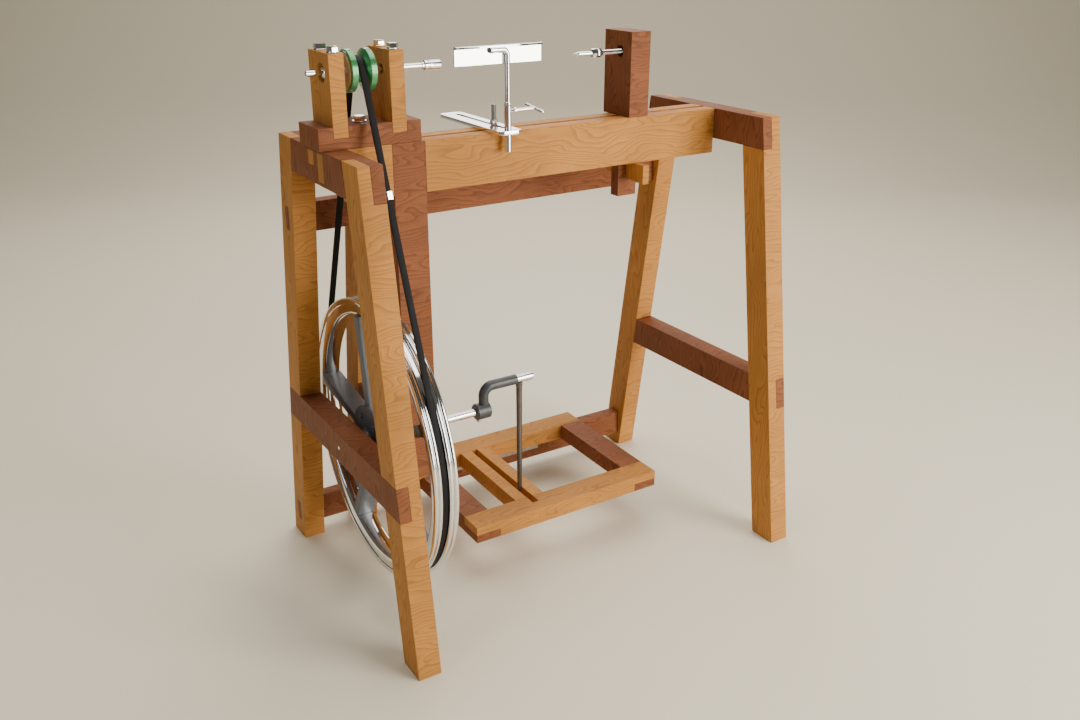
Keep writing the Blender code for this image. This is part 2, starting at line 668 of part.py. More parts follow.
def add_treadle():
    """Four boards half-lapped at the corners, and two slats that guide the pitman."""
    x_low, x_high = TREADLE_X
    y_low, y_high = TREADLE_Y
    z_low, z_high = TREADLE_Z
    lap = (z_low + z_high) / 2
    pivot = "treadle_axis"
    sides = {"left": (x_low, x_low + TREADLE_SIDE), "right": (x_high - TREADLE_SIDE, x_high)}
    ends = {"front": (y_low, y_low + TREADLE_BOARD), "rear": (y_high - TREADLE_BOARD, y_high)}
    inner_y = (ends["front"][1], ends["rear"][0])
    slats = {"left": (SLAT_MIDDLE_X - SLAT_SLOT / 2 - SLAT_WIDTH, SLAT_MIDDLE_X - SLAT_SLOT / 2),
             "right": (SLAT_MIDDLE_X + SLAT_SLOT / 2, SLAT_MIDDLE_X + SLAT_SLOT / 2 + SLAT_WIDTH)}
    tenon_z = ((z_low + z_high - SLAT_TENON) / 2, (z_low + z_high + SLAT_TENON) / 2)

    for name, y in ends.items():
        board = add_box(f"treadle_{name}_board", TREADLE_X, y, TREADLE_Z, OAK, pivot)
        for x in sides.values():
            cut(board, box(grown(x, GAP), grown(y, 0.01), (z_low - 0.01, lap + GAP / 2)))
        for x in slats.values():
            cut(board, box(grown(x, GAP), grown(y, 0.01), grown(tenon_z, GAP)))
        if name == "front":
            slot = (SLAT_MIDDLE_X - SLAT_SLOT / 2, SLAT_MIDDLE_X + SLAT_SLOT / 2)
            cut(board, box(slot, (PITMAN_NOTCH_Y, inner_y[0] + 0.01), grown(TREADLE_Z, 0.01)))

    for name, x in sides.items():
        board = add_box(f"treadle_{name}_board", x, TREADLE_Y, TREADLE_Z, MAHOGANY, pivot)
        for y in ends.values():
            cut(board, box(grown(x, 0.01), grown(y, GAP), (lap - GAP / 2, z_high + 0.01)))

    for name, x in slats.items():
        slat = add_box(f"treadle_{name}_slat", x, grown(inner_y, -GAP), TREADLE_Z, OAK, pivot)
        join(slat, box(x, TREADLE_Y, tenon_z))


def add_treadle_hinge():
    """A long butt hinge: knuckles on both leaves by turns, the pin fixed in the lower leaf."""
    y, z = HINGE_PIVOT
    knuckle = 0.0034
    pin = 0.0015
    leaf = 0.0016
    low, high = HINGE_X
    step = (high - low) / HINGE_KNUCKLES
    stretcher_face = LOWER_STRETCHER_Y[0] - GAP
    board_face = TREADLE_Z[0] - GAP

    fixed = add_box("hinge_fixed_leaf", HINGE_X, (stretcher_face - leaf, stretcher_face),
                    (0.055, z - 0.001), STEEL)
    moving = add_box("hinge_moving_leaf", HINGE_X, (y - 0.036, y + 0.001),
                     (board_face - leaf, board_face), STEEL, "treadle_axis")
    for i in range(HINGE_KNUCKLES):
        span = (low + i * step + 0.0005, low + (i + 1) * step - 0.0005)
        room = grown(span, 0.001)
        barrel = (y - knuckle - 0.0006, y + knuckle + 0.0006)
        around = (z - knuckle - 0.0006, z + knuckle + 0.0006)
        if i % 2 == 0:
            cut(moving, box(room, (barrel[0], y + 0.01), around))
            join(fixed, rod(*span, knuckle, (0.0, y, z), steps=16))
        else:
            cut(fixed, box(room, barrel, (around[0], around[1] + 0.01)))
            join(moving, ring(*span, knuckle, pin + 0.0005, (0.0, y, z), steps=16))
    join(fixed, rod(low + 0.0005, high - 0.0005, pin, (0.0, y, z), steps=12))


# ---------------------------------------------------------------- headstock

def hex_bolt(place, seat, tip, head, shank, washer):
    """A hexagon bolt with its washer: seat is the height under the washer, tip the shank's end."""
    top = seat + WASHER_THICKNESS
    profile = [(top, 0.0), (top, washer), (seat, washer), (seat, shank), (tip, shank), (tip, 0.0)]
    bolt = turned(profile, (*place, 0.0), "z", 20)
    hexagon = slab([moved(polygon(6, head, 10.0), *place)], (top - 0.0007, top + HEAD_SHARE * head), "z")
    return bolt, hexagon


def add_headstock_base():
    """A block with a trench across it for each post."""
    trenches = [(x - GAP, x + POST_THICKNESS + GAP) for x in (POST_LEFT_X, POST_RIGHT_X)]
    outline = [(BASE_X[0], BED_TOP + GAP), (BASE_X[1], BED_TOP + GAP), (BASE_X[1], BASE_TOP)]
    for low, high in reversed(trenches):
        outline += [(high, BASE_TOP), (high, TRENCH_FLOOR), (low, TRENCH_FLOOR), (low, BASE_TOP)]
    outline.append((BASE_X[0], BASE_TOP))
    return finish(slab([outline], BASE_Y, "y"), "headstock_base", MAHOGANY, "frame")


def add_headstock_post(name, low, outward, base):
    """A post with its bearing, and the two bolts that hold it down in the base."""
    post = add_box(f"{name}_headstock_post", (low, low + POST_THICKNESS), POST_Y,
                   (TRENCH_FLOOR + GAP, POST_TOP), OAK)
    face = low if outward < 0 else low + POST_THICKNESS
    shoulder = face - outward * (RECESS_DEPTH + BEARING_WIDTH)
    axis = (0.0, 0.0, SPINDLE_Z)
    seat, through = BEARING_RADIUS + GAP, 0.009
    outside, inside = face + outward * 0.01, face - outward * 0.04
    bore = [(outside, 0.0), (outside, seat), (shoulder, seat), (shoulder, through), (inside, through),
            (inside, 0.0)]
    cut(post, turned(bore[::-1] if outward < 0 else bore, axis, steps=36))
    bearing_span = sorted((shoulder + outward * GAP, shoulder + outward * (BEARING_WIDTH + GAP)))
    finish(ring(*bearing_span, BEARING_RADIUS, SPINDLE_RADIUS + BORE_CLEARANCE, axis),
           f"{name}_spindle_bearing", STEEL, "frame")
    tip = BED_TOP + 0.009
    for place, y in zip(("front", "rear"), POST_BOLTS_Y):
        at = (low + POST_THICKNESS / 2, y)
        bolt, hexagon = hex_bolt(at, POST_TOP + GAP, tip, 0.018, POST_BOLT_RADIUS, 0.0105)
        join(finish(bolt, f"{name}_post_{place}_bolt", CHROME, "frame"), hexagon)
        for piece in (post, base):
            cut(piece, rod(tip - GAP, POST_TOP + 0.01, POST_BOLT_RADIUS + 2 * GAP, (*at, 0.0), "z", 16))


def add_hold_down(base):
    """One bolt through the bed's slot, with a plate and nut under the bed."""
    at = (HOLD_DOWN_X, 0.0)
    clamp_z = (BED_BOTTOM - GAP - 0.012, BED_BOTTOM - GAP)
    bolt, hexagon = hex_bolt(at, BASE_TOP + GAP, clamp_z[0] - 0.014, 0.018, HOLD_DOWN_RADIUS, 0.0125)
    join(finish(bolt, "headstock_hold_down_bolt", CHROME, "frame"), hexagon)
    hole = HOLD_DOWN_RADIUS + 2 * GAP
    cut(base, rod(BED_TOP - 0.01, BASE_TOP + 0.01, hole, (*at, 0.0), "z", 20))
    plate_half = 0.028
    plate = add_box("headstock_clamp_plate", (HOLD_DOWN_X - plate_half, HOLD_DOWN_X + plate_half),
                    (-plate_half, plate_half), clamp_z, STEEL)
    nut = slab([moved(polygon(6, 0.017), *at)], (clamp_z[0] - 0.008, clamp_z[0] + 0.0005), "z")
    join(plate, nut)
    cut(plate, rod(clamp_z[0] - 0.02, clamp_z[1] + 0.01, hole, (*at, 0.0), "z", 20))


def add_headstock():
    base = add_headstock_base()
    add_headstock_post("left", POST_LEFT_X, -1.0, base)
    add_headstock_post("right", POST_RIGHT_X, 1.0, base)
    add_hold_down(base)


def add_spindle():
    axis = (0.0, 0.0, SPINDLE_Z)
    low, high = SPINDLE_X
    socket = 0.005
    profile = [(NOSE_END - 0.018, 0.0), (NOSE_END - 0.018, socket), (NOSE_END, socket),
               (NOSE_END, NOSE_RADIUS - 0.0008), (NOSE_END - 0.0008, NOSE_RADIUS),
               (high + 0.0008, NOSE_RADIUS), (high, NOSE_RADIUS - 0.0008), (high, SPINDLE_RADIUS),
               (LOCK_COLLAR_X[1], SPINDLE_RADIUS), (LOCK_COLLAR_X[1], LOCK_COLLAR_RADIUS),
               (LOCK_COLLAR_X[0], LOCK_COLLAR_RADIUS), (LOCK_COLLAR_X[0], SPINDLE_RADIUS),
               (low + 0.0008, SPINDLE_RADIUS), (low, SPINDLE_RADIUS - 0.0008), (low, 0.0)]
    finish(turned(profile, axis, steps=28), "spindle", CHROME, "spindle_axis")

    left, right = PULLEY_X
    bore = SPINDLE_RADIUS + BORE_CLEARANCE
    face = 0.0022
    profile = [(right, bore), (right, PULLEY_RADIUS - 2 * face), (right - face, PULLEY_RADIUS - 0.0004),
               (BELT_X + PULLEY_MOUTH_HALF, PULLEY_RADIUS), (BELT_X + CHANNEL_HALF, PULLEY_FLOOR_RADIUS),
               (BELT_X - CHANNEL_HALF, PULLEY_FLOOR_RADIUS), (BELT_X - PULLEY_MOUTH_HALF, PULLEY_RADIUS),
               (left + face, PULLEY_RADIUS - 0.0004), (left, PULLEY_RADIUS - 2 * face), (left, bore)]
    finish(turned(profile, axis, steps=36, closed=True), "spindle_pulley", GREEN, "spindle_axis")


def belt_loop(pulley, wheel):
    """The belt's open loop round both pulleys, (Y, Z), with its flats clear of them."""
    distance = SPINDLE_Z - AXLE_Z
    slope = math.degrees(math.asin((wheel - pulley) / distance))
    steps = (8, 40)
    spans = (180.0 - 2 * slope, 180.0 + 2 * slope)
    radii = [radius / math.cos(math.radians(span / step / 2))
             for radius, span, step in zip((pulley, wheel), spans, steps)]
    top = arc((0.0, SPINDLE_Z), radii[0], slope, 180.0 - slope, steps[0])
    bottom = arc((0.0, AXLE_Z), radii[1], 180.0 - slope, 360.0 + slope, steps[1])
    return top + bottom


def add_belt():
    inner = (PULLEY_FLOOR_RADIUS + GAP, WHEEL_GROOVE_RADIUS + GAP)
    outer = (inner[0] + BELT_THICKNESS, inner[1] + BELT_THICKNESS)
    span = (BELT_X - BELT_WIDTH / 2, BELT_X + BELT_WIDTH / 2)
    belt = slab([belt_loop(*outer), belt_loop(*inner)], span)
    finish(smooth(belt), "drive_belt", RUBBER, "frame")

    slope = math.asin((inner[1] - inner[0]) / (SPINDLE_Z - AXLE_Z))
    middle_radius = inner[0] + BELT_THICKNESS / 2
    y = -(middle_radius / math.cos(slope) + (SPINDLE_Z - BELT_CLIP_Z) * math.tan(slope))
    wall = CLIP_WALL
    inside = (BELT_WIDTH / 2 + 0.0005, BELT_THICKNESS / 2 + 0.0008)
    hole = rounded_rectangle((-inside[0], inside[0]), (-inside[1], inside[1]), 0.0004, 2)
    outside = rounded_rectangle((-inside[0] - wall, inside[0] + wall),
                                (-inside[1] - wall, inside[1] + wall), 0.0012, 2)
    clip = slab([outside, hole], (-CLIP_LENGTH / 2, CLIP_LENGTH / 2), "z")
    clip.data.transform(Matrix.Translation((BELT_X, y, BELT_CLIP_Z)) @ Matrix.Rotation(-slope, 4, "X"))
    finish(clip, "belt_clip", CHROME, "frame")


# ---------------------------------------------------------------- tool rest

def add_rest_clamp():
    """A plate under the bed, and the stud that draws it up."""
    x = REST_STUD_X
    length, width, thickness = REST_CLAMP_SIZE
    plate_z = (BED_BOTTOM - GAP - thickness, BED_BOTTOM - GAP)
    plate = add_box("rest_clamp_plate", (x - length / 2, x + length / 2), (-width / 2, width / 2), plate_z,
                    STEEL, "rest_clamp_slide")
    hole = REST_STUD_RADIUS + 2 * GAP
    cut(plate, rod(plate_z[0] - 0.01, plate_z[1] + 0.01, hole, (x, 0.0, 0.0), "z"))
    stud = rod(plate_z[0] - 0.001, REST_STUD_TOP, REST_STUD_RADIUS, (x, 0.0, 0.0), "z", 20)
    finish(stud, "rest_stud", STEEL, "rest_stud_axis")


def add_star_nut():
    base = BED_TOP + GAP + REST_BASE_THICKNESS + GAP
    points = []
    for i in range(40):
        angle = 2 * math.pi * i / 40
        radius = 0.0069 + 0.0009 * math.cos(5 * angle)
        points.append((REST_STUD_X + radius * math.cos(angle), radius * math.sin(angle)))
    centre = (REST_STUD_X, 0.0, 0.0)
    hub = ring(base, base + STAR_NUT_HEIGHT, STAR_NUT_RADIUS, REST_STUD_RADIUS + 2 * GAP, centre, "z", 28)
    hub = finish(hub, "rest_star_nut", STEEL, "star_nut_axis")
    hole = arc((REST_STUD_X, 0.0), 0.0058, 0.0, 345.0, 23)
    join(hub, slab([points, hole], (base + 0.0015, base + STAR_NUT_HEIGHT - 0.0020), "z"))


def add_rest_base():
    z = (BED_TOP + GAP, BED_TOP + GAP + REST_BASE_THICKNESS)
    outline = rounded_rectangle(REST_BASE_X, REST_BASE_Y, 0.010)
    slot = rounded_rectangle((REST_STUD_X - REST_SLOT_HALF, REST_STUD_X + REST_SLOT_HALF), REST_SLOT_Y,
                             REST_SLOT_HALF - 0.0001)
    base = finish(slab([outline, slot], z, "z"), "rest_base_plate", CHROME, "rest_base_slide")
    cut(base, rod(z[0] - 0.01, z[1] + 0.01, REST_SLEEVE_RADIUS + GAP, (*REST_POST, 0.0), "z", 32))

    low, high = REST_SLEEVE_Z
    bore = REST_POST_RADIUS + BORE_CLEARANCE
    sleeve = ring(low, high, REST_SLEEVE_RADIUS, bore, (*REST_POST, 0.0), "z", 28)
    sleeve = finish(sleeve, "rest_sleeve", CHROME, "rest_base_slide")
    tapped = (0.0, REST_POST[1], REST_HANDLE_Z)
    cut(sleeve, rod(REST_POST[0] + 0.002, REST_POST[0] + 0.02, 0.0035, tapped, steps=20))


def add_tool_rest():
    """The post bends along the front of a bar, under the lip that the tool slides on."""
    x, y = REST_POST
    radius = REST_POST_RADIUS
    lip_reach, lip_thickness = REST_LIP
    top = REST_BAR_Z[1]
    run_z = top - lip_thickness - radius + 0.0005
    bend = arc((x - 0.009, run_z - 0.009), 0.009, 0.0, 90.0, 5)
    path = [(x, y, REST_SLEEVE_Z[0] + 0.005)]
    path += [(a, y, b) for a, b in bend]
    path += [(x - REST_RUN, y, run_z)]
    rest = finish(bent_bar(path, radius), "tool_rest", CHROME, "rest_post_slide")
    face = y + radius - 0.0006
    back = face + REST_BAR_THICKNESS
    section = [(face, REST_BAR_Z[0]), (back, REST_BAR_Z[0]), (back, top), (face - lip_reach, top),
               (face - lip_reach, top - lip_thickness), (face, top - lip_thickness)]
    join(rest, slab([section], REST_BAR_X))


def add_rest_handle():
    """A screw with a cross bar, which pinches the post in its sleeve."""
    x, y = REST_POST
    start = x + REST_POST_RADIUS + 0.0006
    end = x + REST_HANDLE_REACH
    profile = [(end, 0.0), (end, 0.0040), (x + 0.019, 0.0030), (x + 0.018, 0.0052), (x + 0.012, 0.0052),
               (x + 0.012, 0.0031), (start, 0.0031), (start, 0.0)]
    screw = turned(profile, (0.0, y, REST_HANDLE_Z), steps=20)
    screw = finish(screw, "rest_clamp_handle", CHROME, "rest_handle_axis")
    half = REST_CROSS_BAR / 2
    cross = [(half, 0.0), (half, 0.0025), (half - 0.002, 0.0038), (0.0, 0.0034), (0.002 - half, 0.0038),
             (-half, 0.0025), (-half, 0.0)]
    bar = turned(cross, (0.0, 0.0, 0.0), "y", 20)
    tilt = Matrix.Rotation(math.radians(REST_CROSS_TILT), 4, "X")
    bar.data.transform(Matrix.Translation((end, y, REST_HANDLE_Z)) @ tilt)
    join(screw, bar)


# ---------------------------------------------------------------- tailstock

def wedge_outline(clearance, reach):
    """The wedge in (Y, Z), with clearance all round and extra length at both ends."""
    slope = (WEDGE_BOTTOM[1] - WEDGE_BOTTOM[0]) / (WEDGE_Y[1] - WEDGE_Y[0])
    low, high = WEDGE_Y[0] - reach, WEDGE_Y[1] + reach
    top = BED_BOTTOM - GAP + 4 * clearance
    return [(low, WEDGE_BOTTOM[0] - reach * slope - clearance),
            (high, WEDGE_BOTTOM[1] + reach * slope - clearance), (high, top), (low, top)]


def add_tailstock():
    slide = "tailstock_slide"
    block = add_box("tailstock_block", TAIL_X, TAIL_Y, (BED_TOP + GAP, TAIL_TOP), MAHOGANY, slide)
    neck_half = BED_SLOT / 2 - GAP
    neck_x = (TONGUE_X[0] + 0.008, TONGUE_X[1] - 0.004)
    mortise_top = BED_TOP + TONGUE_MORTISE
    mortise_z = (BED_TOP - 0.01, mortise_top + GAP)
    cut(block, box(grown(neck_x, GAP), grown((-neck_half, neck_half), GAP), mortise_z))
    axis = (0.0, 0.0, SPINDLE_Z)
    depth, radius = TAIL_RECESS
    cut(block, rod(TAIL_X[0] - 0.01, TAIL_X[0] + depth, radius, axis, steps=32))
    cut(block, rod(TAIL_X[0] - 0.01, TAIL_X[1] + 0.01, TAIL_SCREW_RADIUS + BORE_CLEARANCE, axis))

    shoe_z = (TONGUE_BOTTOM, BED_BOTTOM - GAP)
    tongue = add_box("tailstock_tongue", TONGUE_X, (-TONGUE_HALF, TONGUE_HALF), shoe_z, MAHOGANY, slide)
    join(tongue, box(neck_x, (-neck_half, neck_half), (shoe_z[0] + 0.01, mortise_top)))
    cut(tongue, slab([wedge_outline(GAP, 0.01)], grown(WEDGE_X, GAP)))

    finish(slab([wedge_outline(0.0, 0.0)], WEDGE_X), "tailstock_wedge", OAK, "wedge_slide")

    collar_low, collar_high = TAIL_COLLAR_X
    radius = TAIL_SCREW_RADIUS
    profile = [(TAIL_SCREW_END, 0.0), (TAIL_SCREW_END, radius - 0.001), (TAIL_SCREW_END - 0.001, radius),
               (TAIL_POINT_X + 0.016, radius), (TAIL_POINT_X + 0.012, radius - 0.0014),
               (TAIL_POINT_X, 0.0)]
    screw = finish(turned(profile, axis, steps=24), "tail_screw", CHROME, "tail_screw_slide")
    collar = slab([moved(polygon(6, TAIL_COLLAR_WIDTH), 0.0, SPINDLE_Z)], (collar_low, collar_high))
    join(screw, collar)


add_pivots()
add_end_frame("left", 0.0, 1.0)
add_end_frame("right", RIGHT_FACE, -1.0)
add_bed()
add_stretchers()
add_inner_frame()
add_axle_bushes()
add_flywheel()
add_crank()
add_pitman()
add_treadle()
add_treadle_hinge()
add_headstock()
add_spindle()
add_belt()
add_rest_clamp()
add_star_nut()
add_rest_base()
add_tool_rest()
add_rest_handle()
add_tailstock()
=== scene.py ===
"""The looks of the treadle wood lathe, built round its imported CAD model.

Lengths are metres.
"""
import json
import math

import bmesh
import bpy
from mathutils import Matrix, Vector


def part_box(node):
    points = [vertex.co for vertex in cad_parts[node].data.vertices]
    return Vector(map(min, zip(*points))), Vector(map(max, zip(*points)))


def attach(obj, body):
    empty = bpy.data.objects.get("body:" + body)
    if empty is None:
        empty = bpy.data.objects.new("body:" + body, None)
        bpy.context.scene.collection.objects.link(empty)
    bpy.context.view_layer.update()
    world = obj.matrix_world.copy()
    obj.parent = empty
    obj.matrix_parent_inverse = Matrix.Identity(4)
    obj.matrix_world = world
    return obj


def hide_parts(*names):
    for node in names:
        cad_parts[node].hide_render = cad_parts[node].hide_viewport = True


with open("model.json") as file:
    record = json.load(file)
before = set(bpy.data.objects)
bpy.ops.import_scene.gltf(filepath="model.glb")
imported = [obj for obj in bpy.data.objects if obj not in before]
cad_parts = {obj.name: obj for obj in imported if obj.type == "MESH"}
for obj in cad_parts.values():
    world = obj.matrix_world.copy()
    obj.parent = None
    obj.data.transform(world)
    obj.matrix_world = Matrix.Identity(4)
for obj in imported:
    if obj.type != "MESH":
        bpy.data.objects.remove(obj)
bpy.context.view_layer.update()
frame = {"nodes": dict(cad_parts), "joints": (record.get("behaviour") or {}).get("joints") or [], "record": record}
RECORD = frame["record"]
JOINTS = {joint["name"]: joint for joint in frame["joints"]}

LENS = 34.86
SHIFT = (0.0055, 0.0059)
CAMERA_AT = (-1.0771, -1.6969, 1.2464)
CAMERA_TURN = (67.17, 0.0, -32.17)

OAK_NODES = [
    "front_left_leg", "rear_left_leg", "front_right_leg", "rear_right_leg", "front_bed_rail",
    "rear_bed_rail", "inner_rear_leg", "inner_brace", "left_headstock_post", "right_headstock_post",
    "treadle_front_board", "treadle_rear_board", "treadle_left_slat", "treadle_right_slat",
    "tailstock_wedge",
]
MAHOGANY_NODES = [
    "left_top_rail", "right_top_rail", "left_mid_rail", "right_mid_rail", "upper_stretcher",
    "lower_stretcher", "inner_post", "inner_top_rail", "inner_mid_rail", "headstock_base",
    "treadle_left_board", "treadle_right_board", "tailstock_block", "tailstock_tongue",
]


# ---------------------------------------------------------------- places

def low_high(node, axis):
    low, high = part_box(node)
    return low[axis], high[axis]


def half_size(node, axis):
    low, high = low_high(node, axis)
    return (high - low) / 2


def middle(node):
    low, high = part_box(node)
    return (low + high) / 2


def joint_at(name):
    return Vector(JOINTS[name]["pos_m"])


AXLE = joint_at("flywheel_turn")
SPINDLE = joint_at("spindle_turn")
CRANK_PIN = joint_at("pitman_swing")
BELT_X = middle("drive_belt").x

# Sizes that more than one piece keeps to
CHANNEL_HALF = 0.0066
RIM_DEPTH = 0.032
AXLE_BORE = 0.0083
SPINDLE_BORE = 0.0053
PULLEY_FLOOR = 0.0205


# ---------------------------------------------------------------- node materials

class Tree:
    """A material's node tree, with short calls for the nodes used here."""

    def __init__(self, name):
        self.material = bpy.data.materials.new(name)
        self.material.use_nodes = True
        self.nodes = self.material.node_tree.nodes
        self.links = self.material.node_tree.links
        self.shader = self.nodes["Principled BSDF"]

    def link(self, source, target):
        if isinstance(source, (int, float, tuple)):
            target.default_value = source
        else:
            self.links.new(source, target)

    def coordinates(self, output="Object"):
        return self.nodes.new("ShaderNodeTexCoord").outputs[output]

    def maths(self, operation, a, b=0.0):
        node = self.nodes.new("ShaderNodeMath")
        node.operation = operation
        self.link(a, node.inputs[0])
        self.link(b, node.inputs[1])
        return node.outputs[0]

    def split(self, vector):
        node = self.nodes.new("ShaderNodeSeparateXYZ")
        self.link(vector, node.inputs[0])
        return node.outputs

    def joined(self, x, y, z):
        node = self.nodes.new("ShaderNodeCombineXYZ")
        for value, socket in zip((x, y, z), node.inputs):
            self.link(value, socket)
        return node.outputs[0]

    def scaled(self, vector, scale, shift=(0.0, 0.0, 0.0)):
        node = self.nodes.new("ShaderNodeMapping")
        self.link(vector, node.inputs["Vector"])
        node.inputs["Scale"].default_value = scale
        node.inputs["Location"].default_value = shift
        return node.outputs[0]

    def noise(self, vector, scale, detail=2.0, roughness=0.5, distortion=0.0):
        node = self.nodes.new("ShaderNodeTexNoise")
        self.link(vector, node.inputs["Vector"])
        node.inputs["Scale"].default_value = scale
        node.inputs["Detail"].default_value = detail
        node.inputs["Roughness"].default_value = roughness
        node.inputs["Distortion"].default_value = distortion
        return node.outputs["Fac"]

    def spread(self, value, low, high, to_low=0.0, to_high=1.0):
        node = self.nodes.new("ShaderNodeMapRange")
        self.link(value, node.inputs["Value"])
        node.inputs["From Min"].default_value = low
        node.inputs["From Max"].default_value = high
        node.inputs["To Min"].default_value = to_low
        node.inputs["To Max"].default_value = to_high
        return node.outputs[0]

    def ramp(self, value, stops):
        node = self.nodes.new("ShaderNodeValToRGB")
        self.link(value, node.inputs[0])
        elements = node.color_ramp.elements
        while len(elements) < len(stops):
            elements.new(0.5)
        for element, (place, colour) in zip(elements, stops):
            element.position = place
            element.color = (*colour, 1.0)
        return node.outputs[0]

    def mix(self, factor, a, b, blend="MIX"):
        node = self.nodes.new("ShaderNodeMix")
        node.data_type = "RGBA"
        node.blend_type = blend
        self.link(factor, node.inputs["Factor"])
        for value, socket in ((a, node.inputs["A"]), (b, node.inputs["B"])):
            colour = (*value, 1.0) if isinstance(value, tuple) and len(value) == 3 else value
            self.link(colour, socket)
        return node.outputs["Result"]

    def bump(self, height, strength, distance):
        node = self.nodes.new("ShaderNodeBump")
        node.inputs["Strength"].default_value = strength
        node.inputs["Distance"].default_value = distance
        self.link(height, node.inputs["Height"])
        self.links.new(node.outputs[0], self.shader.inputs["Normal"])

    def set(self, **values):
        for name, value in values.items():
            self.link(value, self.shader.inputs[name.replace("_", " ")])


def face_mapped(tree, offset):
    """Coordinates (along the grain, across it, into it) that follow the way a face points.

    Faces to the front and back have their grain along X, faces to the ends have it upright, and
    faces up and down have it along X.
    """
    place = tree.scaled(tree.coordinates("Object"), (1.0, 1.0, 1.0), offset)
    x, y, z = tree.split(place)
    nx, ny, nz = (tree.maths("ABSOLUTE", n) for n in tree.split(tree.coordinates("Normal")))
    to_end = tree.maths("GREATER_THAN", nx, tree.maths("MAXIMUM", ny, nz))
    upward = tree.maths("GREATER_THAN", nz, tree.maths("MAXIMUM", nx, ny))

    def chosen(front, end, top):
        node_a = tree.nodes.new("ShaderNodeMix")
        tree.link(to_end, node_a.inputs["Factor"])
        tree.link(front, node_a.inputs["A"])
        tree.link(end, node_a.inputs["B"])
        node_b = tree.nodes.new("ShaderNodeMix")
        tree.link(upward, node_b.inputs["Factor"])
        tree.link(node_a.outputs["Result"], node_b.inputs["A"])
        tree.link(top, node_b.inputs["B"])
        return node_b.outputs["Result"]

    along = chosen(x, z, x)
    across = chosen(z, y, y)
    depth = chosen(y, x, z)
    return tree.joined(along, across, tree.maths("MULTIPLY", depth, 0.35))


RINGS_PER_METRE = 95.0


def wood(name, light, dark, line, offset, figure):
    """Flat-sawn timber: contour lines of a stretched noise, with fibres and pores over them."""
    tree = Tree(name)
    grain = face_mapped(tree, offset)
    broad = tree.noise(tree.scaled(grain, (7.0, 24.0, 24.0)), 1.0, 1.6, 0.45, 0.35)
    across = tree.split(grain)[1]
    level = tree.maths("ADD", tree.maths("MULTIPLY", broad, figure),
                       tree.maths("MULTIPLY", across, RINGS_PER_METRE))
    ring = tree.maths("FRACT", level)
    late = tree.ramp(ring, ((0.0, (0.0, 0.0, 0.0)), (0.62, (0.35, 0.35, 0.35)), (0.90, (1.0, 1.0, 1.0)),
                            (1.0, (0.1, 0.1, 0.1))))
    fibre = tree.noise(tree.scaled(grain, (22.0, 900.0, 900.0)), 1.0, 3.0, 0.6)
    pores = tree.spread(tree.noise(tree.scaled(grain, (90.0, 2400.0, 2400.0)), 1.0, 1.0), 0.60, 0.72)
    cloud = tree.noise(tree.scaled(grain, (5.0, 9.0, 9.0)), 1.0, 2.0)

    body = tree.mix(tree.spread(fibre, 0.3, 0.7, 0.0, 0.5), light, dark)
    body = tree.mix(tree.maths("MULTIPLY", late, 0.55), body, line)
    body = tree.mix(tree.maths("MULTIPLY", pores, 0.45), body, line)
    shade = tree.spread(cloud, 0.3, 0.7, 0.86, 1.08)
    tinted = tree.mix(1.0, body, tree.joined(shade, shade, shade), "MULTIPLY")
    roughness = tree.spread(fibre, 0.3, 0.7, 0.50, 0.66)
    tree.set(Base_Color=tinted, Roughness=roughness, Specular_IOR_Level=0.14)
    relief = tree.maths("ADD", tree.maths("MULTIPLY", late, 0.35), tree.maths("MULTIPLY", pores, -1.0))
    tree.bump(relief, 0.22, 0.0004)
    return tree.material


OAK_TONES = ((0.60, 0.275, 0.064), (0.46, 0.192, 0.042), (0.26, 0.092, 0.022))
MAHOGANY_TONES = ((0.290, 0.103, 0.040), (0.190, 0.062, 0.026), (0.070, 0.021, 0.011))


def oak(index):
    return wood(f"oak_{index}", *OAK_TONES, (0.37 * index, 0.21 * index, 0.13 * index), 10.0)


def mahogany(index):
    return wood(f"mahogany_{index}", *MAHOGANY_TONES, (0.29 * index, 0.17 * index, 0.23 * index), 12.0)


def polished(name, colour, roughness, scratch):
    """Plated metal with faint polishing marks and finger smears."""
    tree = Tree(name)
    place = tree.coordinates("Object")
    smear = tree.noise(place, 22.0, 3.0, 0.6)
    lines = tree.noise(tree.scaled(place, (900.0, 60.0, 900.0)), 1.0, 2.0)
    rough = tree.maths("ADD", tree.spread(smear, 0.35, 0.75, roughness, roughness + scratch),
                       tree.maths("MULTIPLY", lines, scratch * 0.5))
    shade = tree.spread(smear, 0.3, 0.7, 0.93, 1.0)
    tinted = tree.mix(1.0, colour, tree.joined(shade, shade, shade), "MULTIPLY")
    tree.set(Base_Color=tinted, Metallic=1.0, Roughness=rough)
    tree.bump(lines, 0.04, 0.0001)
    return tree.material


def machined(name, colour, roughness):
    """Turned or drawn steel: fine tool marks and a thin oily patina."""
    tree = Tree(name)
    place = tree.coordinates("Object")
    marks = tree.noise(tree.scaled(place, (2600.0, 300.0, 300.0)), 1.0, 2.0)
    patina = tree.noise(place, 60.0, 4.0, 0.65)
    tinted = tree.mix(tree.spread(patina, 0.45, 0.75, 0.0, 0.55), colour,
                      tuple(channel * 0.55 for channel in colour))
    rough = tree.spread(patina, 0.3, 0.7, roughness, roughness + 0.18)
    tree.set(Base_Color=tinted, Metallic=1.0, Roughness=rough)
    tree.bump(marks, 0.12, 0.0002)
    return tree.material


